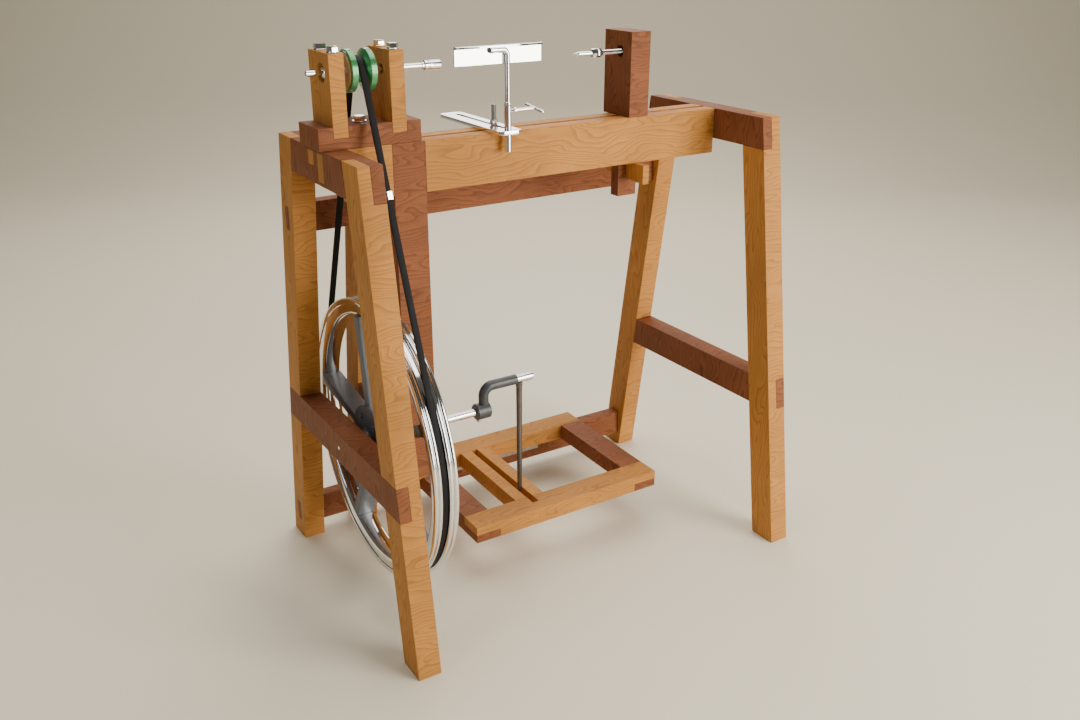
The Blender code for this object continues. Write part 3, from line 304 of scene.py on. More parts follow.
def cast_paint(name, colour, roughness, metallic=0.0):
    """Paint over a casting: orange peel, and rubbed a little where it is handled."""
    tree = Tree(name)
    place = tree.coordinates("Object")
    peel = tree.noise(place, 700.0, 3.0, 0.6)
    sand = tree.noise(place, 180.0, 4.0, 0.7)
    rub = tree.noise(place, 35.0, 3.0, 0.6)
    lighter = tuple(min(1.0, channel * 1.9 + 0.02) for channel in colour)
    tinted = tree.mix(tree.spread(rub, 0.50, 0.80, 0.0, 0.6), colour, lighter)
    rough = tree.spread(sand, 0.3, 0.7, roughness - 0.06, roughness + 0.12)
    tree.set(Base_Color=tinted, Metallic=metallic, Roughness=rough, Coat_Weight=0.25, Coat_Roughness=0.3)
    tree.bump(tree.maths("ADD", peel, tree.maths("MULTIPLY", sand, 1.5)), 0.18, 0.0003)
    return tree.material


def anodised(name, colour):
    """Coloured metallic lacquer with turning marks round the spindle."""
    tree = Tree(name)
    place = tree.coordinates("Object")
    marks = tree.noise(tree.scaled(place, (3500.0, 40.0, 40.0)), 1.0, 2.0)
    patch = tree.noise(place, 90.0, 3.0, 0.6)
    tinted = tree.mix(tree.spread(patch, 0.4, 0.7, 0.0, 0.5), colour,
                      tuple(channel * 0.55 for channel in colour))
    rough = tree.spread(marks, 0.3, 0.7, 0.22, 0.36)
    tree.set(Base_Color=tinted, Metallic=0.45, Roughness=rough, Coat_Weight=0.5, Coat_Roughness=0.12)
    tree.bump(marks, 0.1, 0.0002)
    return tree.material


def belt_rubber():
    """Woven belting in rubber: a fine cross weave, dusty on its high spots."""
    tree = Tree("belt_rubber")
    place = tree.coordinates("Object")
    weave = tree.maths("MULTIPLY", tree.maths("SINE", tree.maths("MULTIPLY", tree.split(place)[0], 6000.0)),
                       tree.maths("SINE", tree.maths("MULTIPLY", tree.split(place)[2], 6000.0)))
    dust = tree.noise(place, 40.0, 4.0, 0.7)
    tinted = tree.mix(tree.spread(dust, 0.45, 0.8, 0.0, 0.5), (0.005, 0.005, 0.006), (0.022, 0.021, 0.020))
    tree.set(Base_Color=tinted, Roughness=tree.spread(dust, 0.3, 0.7, 0.52, 0.70), Specular_IOR_Level=0.2)
    tree.bump(weave, 0.25, 0.0002)
    return tree.material


CHROME = polished("chrome", (0.86, 0.865, 0.88), 0.05, 0.04)
BRIGHT_STEEL = polished("bright_steel", (0.62, 0.63, 0.65), 0.34, 0.10)
STEEL = machined("steel", (0.42, 0.41, 0.40), 0.26)
DARK_STEEL = machined("dark_steel", (0.16, 0.145, 0.14), 0.34)
SLATE = cast_paint("slate_paint", (0.088, 0.100, 0.116), 0.42)
DARK_SLATE = cast_paint("dark_slate_paint", (0.034, 0.041, 0.046), 0.40)
GREEN = anodised("green_paint", (0.062, 0.290, 0.105))
RUBBER = belt_rubber()
# Near-black painted shade: it stands for the dark recess round the spindle bearings, and is laid on their shields
SHADOW = machined("painted_shade_recess", (0.03, 0.03, 0.03), 0.6)


# ---------------------------------------------------------------- meshes

def new_piece(name, mesh, body, materials, replaced=()):
    """Puts a mesh in the scene as a piece of a body, in place of the CAD nodes it replaces."""
    piece = bpy.data.objects.new(name, mesh)
    bpy.context.scene.collection.objects.link(piece)
    mesh.name = name
    for material in materials:
        mesh.materials.append(material)
    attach(piece, body)
    if replaced:
        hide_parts(*replaced)


def finished_mesh(work, angle):
    """A mesh from a bmesh, its faces pointing out and smooth except over sharp edges."""
    bmesh.ops.recalc_face_normals(work, faces=work.faces)
    mesh = bpy.data.meshes.new("piece")
    work.to_mesh(mesh)
    work.free()
    mesh.shade_smooth()
    mesh.set_sharp_from_angle(angle=math.radians(angle))
    return mesh


AXES = {
    "x": Matrix(((0, 0, 1, 0), (1, 0, 0, 0), (0, 1, 0, 0), (0, 0, 0, 1))),
    "y": Matrix(((0, 1, 0, 0), (0, 0, 1, 0), (1, 0, 0, 0), (0, 0, 0, 1))),
    "z": Matrix.Identity(4),
}


def revolve(work, profile, centre, axis="x", steps=96, closed=False, shade=None):
    """Adds a turned shape to a bmesh. The profile is (distance along the axis, radius).

    shade gives the material index for a profile segment's number.
    """
    turn = Matrix.Translation(centre) @ AXES[axis]
    rings = []
    for along, radius in profile:
        if radius < 1e-7:
            rings.append([work.verts.new(turn @ Vector((0.0, 0.0, along)))])
            continue
        ring = []
        for i in range(steps):
            angle = 2 * math.pi * i / steps
            spot = Vector((radius * math.cos(angle), radius * math.sin(angle), along))
            ring.append(work.verts.new(turn @ spot))
        rings.append(ring)
    pairs = list(zip(rings, rings[1:]))
    if closed:
        pairs.append((rings[-1], rings[0]))
    for number, (a, b) in enumerate(pairs):
        for i in range(steps):
            j = (i + 1) % steps
            corners = [a[i % len(a)], a[j % len(a)], b[j % len(b)], b[i % len(b)]]
            unique = list(dict.fromkeys(corners))
            if len(unique) > 2:
                face = work.faces.new(unique)
                if shade:
                    face.material_index = shade(number)


def turned(name, profile, centre, body, materials, replaced=(), axis="x", steps=96, closed=False,
           shade=None, angle=30.0):
    """A piece that is one turned shape."""
    work = bmesh.new()
    revolve(work, profile, centre, axis, steps, closed, shade)
    new_piece(name, finished_mesh(work, angle), body, materials, replaced)


def extrude_outline(work, outline, low, high, edge):
    """Adds an upright slab of an outline in X and Y, its two rims broken by a small chamfer."""
    centre = Vector((sum(p[0] for p in outline), sum(p[1] for p in outline))) / len(outline)

    def ring(height, inset):
        points = []
        for a, b in outline:
            offset = Vector((a, b)) - centre
            shrunk = centre + offset * (1.0 - inset / max(offset.length, 1e-6))
            points.append(work.verts.new((shrunk.x, shrunk.y, height)))
        return points

    rings = [ring(low, edge), ring(low + edge, 0.0), ring(high - edge, 0.0), ring(high, edge)]
    skin(work, rings)


def hexagon(across_flats, turn):
    radius = across_flats / 2 / math.cos(math.pi / 6)
    angles = [math.radians(turn) + 2 * math.pi * i / 6 for i in range(6)]
    return [(radius * math.cos(a), radius * math.sin(a)) for a in angles]


def arc(centre, radius, start, stop, steps):
    points = []
    for i in range(steps + 1):
        angle = math.radians(start + (stop - start) * i / steps)
        points.append((centre[0] + radius * math.cos(angle), centre[1] + radius * math.sin(angle)))
    return points


def rounded_section(half_a, half_b, soft, steps):
    """A rectangle about the origin with rounded corners."""
    points = []
    for quarter, (a, b) in enumerate(((1, 1), (-1, 1), (-1, -1), (1, -1))):
        start = 90.0 * quarter
        points += arc((a * (half_a - soft), b * (half_b - soft)), soft, start, start + 90.0, steps)
    return points


def skin(work, rings, closed=False):
    """Faces between rings of as many vertices. An open skin gets a cap at both ends."""
    pairs = list(zip(rings, rings[1:]))
    if closed:
        pairs.append((rings[-1], rings[0]))
    for a, b in pairs:
        for k in range(len(a)):
            j = (k + 1) % len(a)
            work.faces.new((a[k], a[j], b[j], b[k]))
    if not closed:
        work.faces.new(rings[0])
        work.faces.new(rings[-1])


def refined(node, body, materials, bevel, segments=2):
    """The CAD solid of a node with its flat faces merged and its edges eased."""
    work = bmesh.new()
    work.from_mesh(frame["nodes"][node].data)
    bmesh.ops.remove_doubles(work, verts=work.verts, dist=0.000005)
    bmesh.ops.dissolve_limit(work, angle_limit=math.radians(0.6), verts=work.verts, edges=work.edges)
    bmesh.ops.recalc_face_normals(work, faces=work.faces)
    sharp = []
    for edge in work.edges:
        if len(edge.link_faces) != 2 or edge.calc_length() < 3 * bevel:
            continue
        if edge.calc_face_angle() > math.radians(40.0):
            sharp.append(edge)
    bmesh.ops.bevel(work, geom=sharp, offset=bevel, offset_type="OFFSET", segments=segments, profile=0.6,
                    affect="EDGES", clamp_overlap=True)
    new_piece(node + "_finished", finished_mesh(work, 25.0), body, materials, (node,))


def body_of_node(node):
    for body, members in RECORD["behaviour"]["bodies"].items():
        if node in members:
            return body
    return "root"


def swept(work, points, radius, sides):
    """Adds a round bar along a planar path in X and Z, with closed ends."""
    rings = []
    for i, point in enumerate(points):
        before = points[max(i - 1, 0)]
        after = points[min(i + 1, len(points) - 1)]
        along = (after - before).normalized()
        side = Vector((0.0, 1.0, 0.0))
        up = along.cross(side)
        ring = []
        for k in range(sides):
            angle = 2 * math.pi * k / sides
            ring.append(work.verts.new(point + radius * (math.cos(angle) * side + math.sin(angle) * up)))
        rings.append(ring)
    skin(work, rings)


# ---------------------------------------------------------------- timber

def add_timber():
    for index, node in enumerate(OAK_NODES):
        refined(node, body_of_node(node), [oak(index + 1)], 0.0009)
    for index, node in enumerate(MAHOGANY_NODES):
        refined(node, body_of_node(node), [mahogany(index + 1)], 0.0009)


# ---------------------------------------------------------------- flywheel and crank

def bead(low, high, radius, rise):
    """A rounded bead of a turned profile between two places along the axis."""
    steps = 10
    centre = (low + high) / 2
    half = (high - low) / 2
    points = []
    for i in range(steps + 1):
        angle = math.pi * i / steps
        points.append((centre + half * math.cos(angle), radius - rise + rise * math.sin(angle)))
    return points


def add_flywheel_rim():
    """A heavy rim with two beads on either side of the belt's channel."""
    x_low, x_high = low_high("flywheel_rim", 0)
    outer = half_size("flywheel_rim", 2)
    floor = outer - 0.010
    lip, soft, rise = 0.0016, 0.0006, 0.0042
    right = (BELT_X + CHANNEL_HALF, x_high)
    left = (x_low, BELT_X - CHANNEL_HALF)
    profile = []
    for low, high in (right, left):
        split = (low + high) / 2
        profile += bead(split, high, outer, rise)
        profile += bead(low, split, outer, rise)
        if low == right[0]:
            profile += [(right[0], floor + lip), (right[0] - soft, floor), (left[1] + soft, floor),
                        (left[1], floor + lip)]
    flank = [(0.0, outer - 0.0085), (soft, outer - 0.0115)]
    flank += [(0.0025 + 0.006 * (1 - math.cos(a)), outer - 0.0125 - 0.018 * math.sin(a))
              for a in (0.0, 0.35, 0.7, 1.05, 1.4)]
    flank.append((0.30 * (x_high - x_low), outer - RIM_DEPTH))
    profile += [(x_low + along, radius) for along, radius in flank]
    profile += [(x_high - along, radius) for along, radius in reversed(flank)]
    centre = (0.0, AXLE.y, AXLE.z)
    turned("rim_of_flywheel", profile, centre, "flywheel", [CHROME], ("flywheel_rim",), steps=240,
           closed=True, angle=50.0)


def add_flywheel_spider():
    """The hub with its round flange, five spokes and the bolts through the flange."""
    x_low, x_high = low_high("flywheel_spider", 0)
    centre = (0.0, AXLE.y, AXLE.z)
    spokes = 5
    first_spoke, first_bolt = 9.5, 58.0
    width, depth = 0.020, 0.040
    back = BELT_X - depth / 2
    front = back + depth
    flange, flange_back = 0.070, back - 0.005
    barrel, neck = 0.020, 0.034
    edge = 0.0012
    hub = [(x_high, AXLE_BORE), (x_high, barrel - edge), (x_high - edge, barrel),
           (front + 0.003, 0.0225), (front, 0.025), (front - 0.006, neck), (back + 0.005, neck),
           (back + 0.002, flange - 0.002), (back, flange), (flange_back + edge, flange),
           (flange_back, flange - edge), (flange_back, 0.060), (back - 0.0055, 0.026),
           (back - 0.008, 0.022), (x_low + edge, barrel), (x_low, barrel - edge), (x_low, AXLE_BORE)]
    turned("hub_of_flywheel", hub, centre, "flywheel", [SLATE], ("flywheel_spider",),
           steps=128, closed=True)

    reach = (low_high("flywheel_rim", 2)[1] - AXLE.z) - RIM_DEPTH - 0.0006
    for i in range(spokes):
        work = bmesh.new()
        stations = ((0.031, 1.16), (0.060, 1.05), (0.120, 1.0), (0.205, 1.0), (0.228, 1.10),
                    (math.sqrt(reach ** 2 - (0.6 * width) ** 2), 1.16))
        rings = []
        for distance, swell in stations:
            section = rounded_section(depth / 2, width / 2 * swell, 0.0035, 4)
            ring = []
            for a, b in section:
                ring.append(work.verts.new((BELT_X + a, distance, b)))
            rings.append(ring)
        skin(work, rings)
        turn = Matrix.Rotation(math.radians(first_spoke + 360.0 * i / spokes), 4, "X")
        bmesh.ops.transform(work, matrix=Matrix.Translation(centre) @ turn, verts=work.verts)
        new_piece(f"spoke_{i + 1}", finished_mesh(work, 30.0), "flywheel", [SLATE])

    for i in range(spokes):
        angle = first_bolt + 360.0 * i / spokes
        place = arc((AXLE.y, AXLE.z), 0.050, angle, angle, 1)[0]
        work = bmesh.new()
        add_hex_head(work, (0.0, *place), back - 0.0092, back - 0.0050, 0.010, "x", angle)
        washer = [(back - 0.0058, 0.0), (back - 0.0058, 0.0068), (back - 0.0045, 0.0068),
                  (back - 0.0045, 0.0)]
        revolve(work, washer, (0.0, *place), steps=32)
        new_piece(f"hub_bolt_{i + 1}", finished_mesh(work, 30.0), "flywheel", [SLATE])


def add_hex_head(work, centre, low, high, across, axis, turn=0.0, top_high=False):
    """A hexagon head between two places along an axis, chamfered at one end: low or high."""
    matrix = Matrix.Translation(centre) @ AXES[axis]
    chamfer = (high - low) * 0.18
    ends = ((low, 0.90), (low + chamfer, 1.0), (high, 1.0))
    if top_high:
        ends = ((low, 1.0), (high - chamfer, 1.0), (high, 0.90))
    rings = []
    for along, share in ends:
        outline = hexagon(across * share, turn)
        rings.append([work.verts.new(matrix @ Vector((a, b, along))) for a, b in outline])
    skin(work, rings)


def add_axle_and_crank():
    """The axle with its thin outer stub, and a crank bent from bar in a turned boss."""
    x_low, x_high = low_high("axle", 0)
    radius = half_size("axle", 2)
    edge = 0.0012
    centre = (0.0, AXLE.y, AXLE.z)
    stub, shoulder = 0.004, x_low + 0.0123
    shaft = [(x_low, 0.0), (x_low, stub - edge / 2), (x_low + edge / 2, stub), (shoulder, stub),
             (shoulder, radius - edge), (shoulder + edge, radius), (x_high - edge, radius),
             (x_high, radius - edge), (x_high, 0.0)]
    turned("axle_shaft", shaft, centre, "flywheel", [CHROME], ("axle",))

    bar = 0.0105
    arm_low, arm_high = low_high("crank_arm", 0)
    boss_radius = 0.017
    arm_x = arm_low + 0.020
    bend = 0.020
    work = bmesh.new()
    path = [Vector((arm_x, 0.0, AXLE.z + 0.004))]
    path += [Vector((x, 0.0, z)) for x, z in arc((arm_x + bend, CRANK_PIN.z - bend), bend, 180.0, 90.0, 16)]
    path += [Vector((arm_high, 0.0, CRANK_PIN.z))]
    swept(work, path, bar, 40)
    new_piece("crank_bar", finished_mesh(work, 50.0), "flywheel", [DARK_SLATE],
              ("crank_arm",))
    bore, soft = radius + 0.0004, 0.0015
    boss = [(arm_low, bore), (arm_low, boss_radius - soft), (arm_low + soft, boss_radius),
            (x_high - soft, boss_radius), (x_high, boss_radius - soft), (x_high, bore)]
    turned("crank_boss", boss, centre, "flywheel", [DARK_SLATE], closed=True)
    work = bmesh.new()
    screw_at = (arm_low + 0.008, AXLE.y, AXLE.z)
    add_hex_head(work, screw_at, -boss_radius - 0.005, -boss_radius + 0.001, 0.009, "z")
    new_piece("crank_set_screw", finished_mesh(work, 30.0), "flywheel", [BRIGHT_STEEL])

    pin_low, pin_high = low_high("crank_pin", 0)
    pin_radius, head_radius = 0.005, 0.0075
    head = pin_high - 0.003
    pin_centre = (0.0, CRANK_PIN.y, CRANK_PIN.z)
    pin = [(pin_high, 0.0), (pin_high, head_radius - soft), (pin_high - soft, head_radius),
           (head + 0.0003, head_radius), (head, head_radius - 0.0003), (head, pin_radius),
           (pin_low, pin_radius), (pin_low, 0.0)]
    turned("crank_pin_pin", pin, pin_centre, "flywheel", [CHROME], ("crank_pin",))


def add_pitman():
    """The sleeve on the crank pin, and a rod that flattens and tapers towards its foot."""
    x_low, x_high = low_high("pitman_sleeve", 0)
    outer = half_size("pitman_sleeve", 2)
    bore = 0.0054
    edge = 0.0008
    centre = (0.0, CRANK_PIN.y, CRANK_PIN.z)
    sleeve = [(x_low, bore), (x_low, outer - edge), (x_low + edge, outer), (x_high - edge, outer),
              (x_high, outer - edge), (x_high, bore)]
    turned("sleeve_of_pitman", sleeve, centre, "pitman", [CHROME], ("pitman_sleeve",),
           closed=True)

    low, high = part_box("pitman_rod")
    x = (low.x + high.x) / 2
    top = high.z + 0.0015
    rows, sides = 46, 32
    work = bmesh.new()
    rings = []
    for i in range(rows + 1):
        share = i / rows
        z = top - share * (top - low.z)
        radius = 0.0066 - 0.0014 * min(1.0, share * 1.1)
        if share < 0.03:
            radius += 0.0008
        flat = max(0.0, (share - 0.80) / 0.20)
        taper = 1.0 - 0.30 * max(0.0, (share - 0.955) / 0.045)
        ring = []
        for k in range(sides):
            angle = 2 * math.pi * k / sides
            groove = 1.0 - 0.42 * flat * max(0.0, -math.sin(angle)) ** 6
            depth = radius * taper * groove * (1.0 - 0.25 * flat)
            ring.append(work.verts.new((x + radius * taper * math.cos(angle), depth * math.sin(angle), z)))
        rings.append(ring)
    skin(work, rings)
    new_piece("rod_of_pitman", finished_mesh(work, 50.0), "pitman", [DARK_STEEL], ("pitman_rod",))


def add_axle_bushes():
    for node in ("left_axle_bush", "inner_axle_bush"):
        x_low, x_high = low_high(node, 0)
        outer = half_size(node, 2)
        edge = 0.0008
        profile = [(x_low, AXLE_BORE + edge), (x_low, outer - edge), (x_low + edge, outer),
                   (x_high - edge, outer), (x_high, outer - edge), (x_high, AXLE_BORE + edge),
                   (x_high - edge, AXLE_BORE), (x_low + edge, AXLE_BORE)]
        turned(node + "_sleeve", profile, (0.0, AXLE.y, AXLE.z), "root", [STEEL], (node,),
               closed=True)


# ---------------------------------------------------------------- headstock and drive

def add_spindle():
    """The shaft with its collar, and a nose with two grooves and a socket for the drive centre."""
    x_low, x_high = low_high("spindle", 0)
    centre = (0.0, SPINDLE.y, SPINDLE.z)
    shaft, nose, socket = 0.005, 0.0085, 0.005
    shoulder = x_high - 0.031
    edge = 0.0008
    collar_high = low_high("left_spindle_bearing", 0)[0] - 0.0005
    collar_low = collar_high - 0.0067
    collar = half_size("spindle", 2)
    step = (shoulder - 0.004, shaft + 0.0012)
    profile = [(x_low, 0.0), (x_low, shaft - edge), (x_low + edge, shaft), (collar_low, shaft),
               (collar_low, collar - edge), (collar_low + edge, collar), (collar_high - edge, collar),
               (collar_high, collar - edge), (collar_high, shaft), (step[0], shaft), step,
               (shoulder, step[1]), (shoulder, nose - edge), (shoulder + edge, nose)]
    for i in range(2):
        groove = shoulder + 0.006 + 0.0035 * i
        profile += [(groove, nose), (groove + 0.0005, nose - 0.0005), (groove + 0.0010, nose)]
    socket_floor = x_high - 0.018
    profile += [(x_high - edge, nose), (x_high, nose - edge), (x_high, socket + edge),
                (x_high - edge, socket), (socket_floor, socket), (socket_floor, 0.0)]
    turned("spindle_shaft", profile, centre, "spindle", [CHROME], ("spindle",))


def add_pulley():
    """Two green cheeks with a channel between them, and a bright bush in the middle."""
    x_low, x_high = low_high("spindle_pulley", 0)
    outer = half_size("spindle_pulley", 2)
    mouth, soft = 0.0118, 0.0006
    half = [(0.0012, SPINDLE_BORE), (0.0012, 0.0105), (0.0, 0.0115), (0.0, 0.0285), (0.0010, 0.0300),
            (0.0014, 0.0302), (0.0014, 0.0316), (0.0022, outer - 0.0010), (0.0032, outer)]
    profile = [(x_low + along, radius) for along, radius in half]
    groove = [(mouth + soft, outer), (mouth, outer - soft), (CHANNEL_HALF, PULLEY_FLOOR + soft),
              (CHANNEL_HALF - soft, PULLEY_FLOOR)]
    profile += [(BELT_X - along, radius) for along, radius in groove]
    profile += [(BELT_X + along, radius) for along, radius in reversed(groove)]
    profile += [(x_high - along, radius) for along, radius in reversed(half)]
    steel = set(range(4)) | set(range(len(profile) - 5, len(profile)))
    turned("pulley_cones", profile, (0.0, SPINDLE.y, SPINDLE.z), "spindle", [GREEN, BRIGHT_STEEL],
           ("spindle_pulley",), steps=128, closed=True,
           shade=lambda number: 1 if number in steel else 0)


def add_spindle_bearings():
    """Ball bearings: outer ring, inner ring, and near-black shields between them that also paint the recess's
    shade.
    """
    for node in ("left_spindle_bearing", "right_spindle_bearing"):
        x_low, x_high = low_high(node, 0)
        outer = half_size(node, 2)
        edge, sunk = 0.0006, 0.0010
        centre = (0.0, SPINDLE.y, SPINDLE.z)
        half = [(edge, SPINDLE_BORE), (0.0, SPINDLE_BORE + edge), (0.0, 0.0085), (sunk, 0.0088),
                (sunk, 0.0128), (0.0, 0.0131), (0.0, outer - edge), (edge, outer)]
        rings = [(x_low + along, radius) for along, radius in half]
        rings += [(x_high - along, radius) for along, radius in reversed(half)]
        # The sunk shield faces get the near-black SHADOW material: a shield's own dark colour plus painted shade
        # of the recess
        shields_in_painted_shade = {3, 11}
        turned(node + "_rings", rings, centre, "root", [DARK_STEEL, SHADOW], (node,), closed=True,
               shade=lambda number: 1 if number in shields_in_painted_shade else 0)


def add_bolts():
    """Hexagon bolts on washers, each turned to an angle of its own."""
    nodes = [f"{side}_post_{place}_bolt" for side in ("left", "right") for place in ("front", "rear")]
    nodes.append("headstock_hold_down_bolt")
    across, washer_thickness = 0.018, 0.0015
    for number, node in enumerate(nodes):
        low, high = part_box(node)
        x, y = (low.x + high.x) / 2, (low.y + high.y) / 2
        washer = half_size(node, 1)
        shank = 0.005 if node == "headstock_hold_down_bolt" else 0.004
        seat = high.z - 0.45 * across - washer_thickness
        top = seat + washer_thickness
        work = bmesh.new()
        edge = 0.0004
        profile = [(low.z, 0.0), (low.z, shank), (seat, shank), (seat, washer - edge),
                   (seat + edge, washer), (top - edge, washer), (top, washer - edge), (top, 0.0)]
        revolve(work, profile, (x, y, 0.0), "z", 48)
        add_hex_head(work, (x, y, 0.0), top, high.z, across, "z", 10.0 + 17.0 * number, True)
        new_piece(node + "_head", finished_mesh(work, 30.0), "root", [CHROME], (node,))


def add_belt():
    """A flat belt with rounded edges round both pulleys."""
    half = half_size("drive_belt", 0)
    thickness, gap = 0.004, 0.0003
    wheel = half_size("drive_belt", 1) - thickness / 2 - 0.0004
    pulley = PULLEY_FLOOR + gap + thickness / 2
    distance = SPINDLE.z - AXLE.z
    slope = math.asin((wheel - pulley) / distance)
    turns = ((SPINDLE.z, pulley, slope, math.pi - slope, 24),
             (AXLE.z, wheel, math.pi - slope, 2 * math.pi + slope, 120))
    path = []
    for centre, radius, start, stop, count in turns:
        for i in range(count + 1):
            angle = start + (stop - start) * i / count
            path.append((Vector((0.0, math.cos(angle), math.sin(angle))), centre, radius))
    section = rounded_section(half, thickness / 2, 0.0008, 2)
    work = bmesh.new()
    rings = []
    for outward, centre, radius in path:
        ring = []
        for a, b in section:
            ring.append(work.verts.new(Vector((BELT_X + a, 0.0, centre)) + outward * (radius + b)))
        rings.append(ring)
    skin(work, rings, closed=True)
    new_piece("belt", finished_mesh(work, 45.0), "root", [RUBBER], ("drive_belt",))
    refined("belt_clip", "root", [CHROME], 0.0003)


# ---------------------------------------------------------------- tool rest

def threaded(low, high, radius, pitch):
    """A thread's ridges as a turned profile from low to high."""
    points = []
    count = int((high - low) / pitch)
    for i in range(count):
        start = low + i * pitch
        points += [(start, radius - 0.35 * pitch), (start + 0.5 * pitch, radius)]
    return points


def add_rest_stud():
    """The clamping stud, threaded where its nut runs, and the plate under the bed."""
    low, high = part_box("rest_stud")
    centre = (middle("rest_stud").x, 0.0, 0.0)
    radius = 0.0047
    thread_start = low_high("rest_star_nut", 2)[0]
    profile = [(low.z, 0.0), (low.z, radius - 0.001), (low.z + 0.001, radius), (thread_start, radius)]
    profile += threaded(thread_start, high.z - 0.0015, radius, 0.00125)
    profile += [(high.z - 0.0012, radius - 0.0008), (high.z, radius - 0.0018), (high.z, 0.0)]
    work = bmesh.new()
    revolve(work, profile, centre, "z", 48)
    new_piece("rest_stud_thread", finished_mesh(work, 30.0), "rest_stud", [STEEL], ("rest_stud",))
    refined("rest_clamp_plate", "rest_clamp", [STEEL], 0.0010)


def add_star_nut():
    """A hub with a five-lobed grip."""
    low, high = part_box("rest_star_nut")
    x, y = middle("rest_stud").x, 0.0
    hub = 0.0062
    bore = 0.0051
    lobe_low, lobe_high = low.z + 0.0015, low.z + 0.0080
    work = bmesh.new()
    barrel = [(low.z, bore), (low.z, hub - 0.0005), (low.z + 0.0005, hub), (high.z - 0.0012, hub),
              (high.z, hub - 0.0012), (high.z, bore)]
    revolve(work, barrel, (x, y, 0.0), "z", 64, closed=True)
    outline = []
    sides = 120
    for i in range(sides):
        angle = 2 * math.pi * i / sides
        radius = 0.0069 + 0.0009 * math.cos(5 * angle)
        outline.append((x + radius * math.cos(angle), y + radius * math.sin(angle)))
    extrude_outline(work, outline, lobe_low, lobe_high, 0.0007)
    new_piece("rest_star_nut_grip", finished_mesh(work, 50.0), "rest_nut", [BRIGHT_STEEL],
              ("rest_star_nut",))


def add_rest_base():
    """The slotted plate, and a sleeve with a groove near its top."""
    refined("rest_base_plate", "rest_base", [CHROME], 0.0011, 3)
    low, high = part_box("rest_sleeve")
    centre = ((low.x + high.x) / 2, (low.y + high.y) / 2, 0.0)
    outer, bore, edge = (high.x - low.x) / 2, 0.0052, 0.0006
    profile = [(low.z, bore), (low.z, outer - edge), (low.z + edge, outer), (high.z - 0.007, outer),
               (high.z - 0.006, outer - edge), (high.z - 0.005, outer), (high.z - edge, outer),
               (high.z, outer - edge), (high.z, bore)]
    turned("rest_sleeve_tube", profile, centre, "rest_base", [CHROME], ("rest_sleeve",), axis="z",
           steps=64, closed=True)


def add_tool_rest():
    """The post, bent along the front of a lipped bar and welded to it."""
    low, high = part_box("tool_rest")
    sleeve = middle("rest_sleeve")
    x, y = sleeve.x, sleeve.y
    post = 0.0048
    thick = 0.003
    lip_reach, lip_thick = 0.006, 0.004
    run_z = high.z - lip_thick - post + 0.0005
    run_end = x - 0.034
    bend = 0.009
    work = bmesh.new()
    path = [Vector((x, y, low.z))]
    path += [Vector((a, y, b)) for a, b in arc((x - bend, run_z - bend), bend, 0.0, 90.0, 14)]
    path += [Vector((run_end, y, run_z))]
    swept(work, path, post, 32)
    new_piece("rest_post", finished_mesh(work, 50.0), "tool_rest", [CHROME], ("tool_rest",))

    face = y + post - 0.0006
    back = face + thick
    bar_low = high.z - 0.033
    soft, edge = 0.0012, 0.0007
    lip_low, lip_front = high.z - lip_thick, face - lip_reach
    section = [(face, bar_low + edge), (face + edge, bar_low), (back - edge, bar_low),
               (back, bar_low + edge)]
    section += arc((back - soft, high.z - soft), soft, 0.0, 90.0, 4)
    section += arc((lip_front + soft, high.z - soft), soft, 90.0, 180.0, 4)
    section += [(lip_front, lip_low + edge), (lip_front + edge, lip_low), (face - edge, lip_low),
                (face, lip_low - edge)]
    centre = Vector(((face + back) / 2, (bar_low + high.z) / 2))
    work = bmesh.new()
    rings = []
    for place, shrink in ((low.x, edge), (low.x + edge, 0.0), (high.x - edge, 0.0), (high.x, edge)):
        ring = []
        for a, b in section:
            drawn = Vector((a, b)) - Vector((a - centre.x, b - centre.y)).normalized() * shrink
            ring.append(work.verts.new((place, drawn.x, drawn.y)))
        rings.append(ring)
    skin(work, rings)
    new_piece("rest_bar", finished_mesh(work, 30.0), "tool_rest", [CHROME])

    work = bmesh.new()
    for end in (run_end + 0.003, x - 0.014):
        weld = [(end - 0.0045, post * 0.7), (end - 0.002, post * 1.10), (end + 0.002, post * 1.10),
                (end + 0.0045, post * 0.7)]
        revolve(work, weld, (0.0, y + 0.0012, run_z - 0.0006), "x", 24, closed=True)
    new_piece("rest_weld_beads", finished_mesh(work, 60.0), "tool_rest", [STEEL])


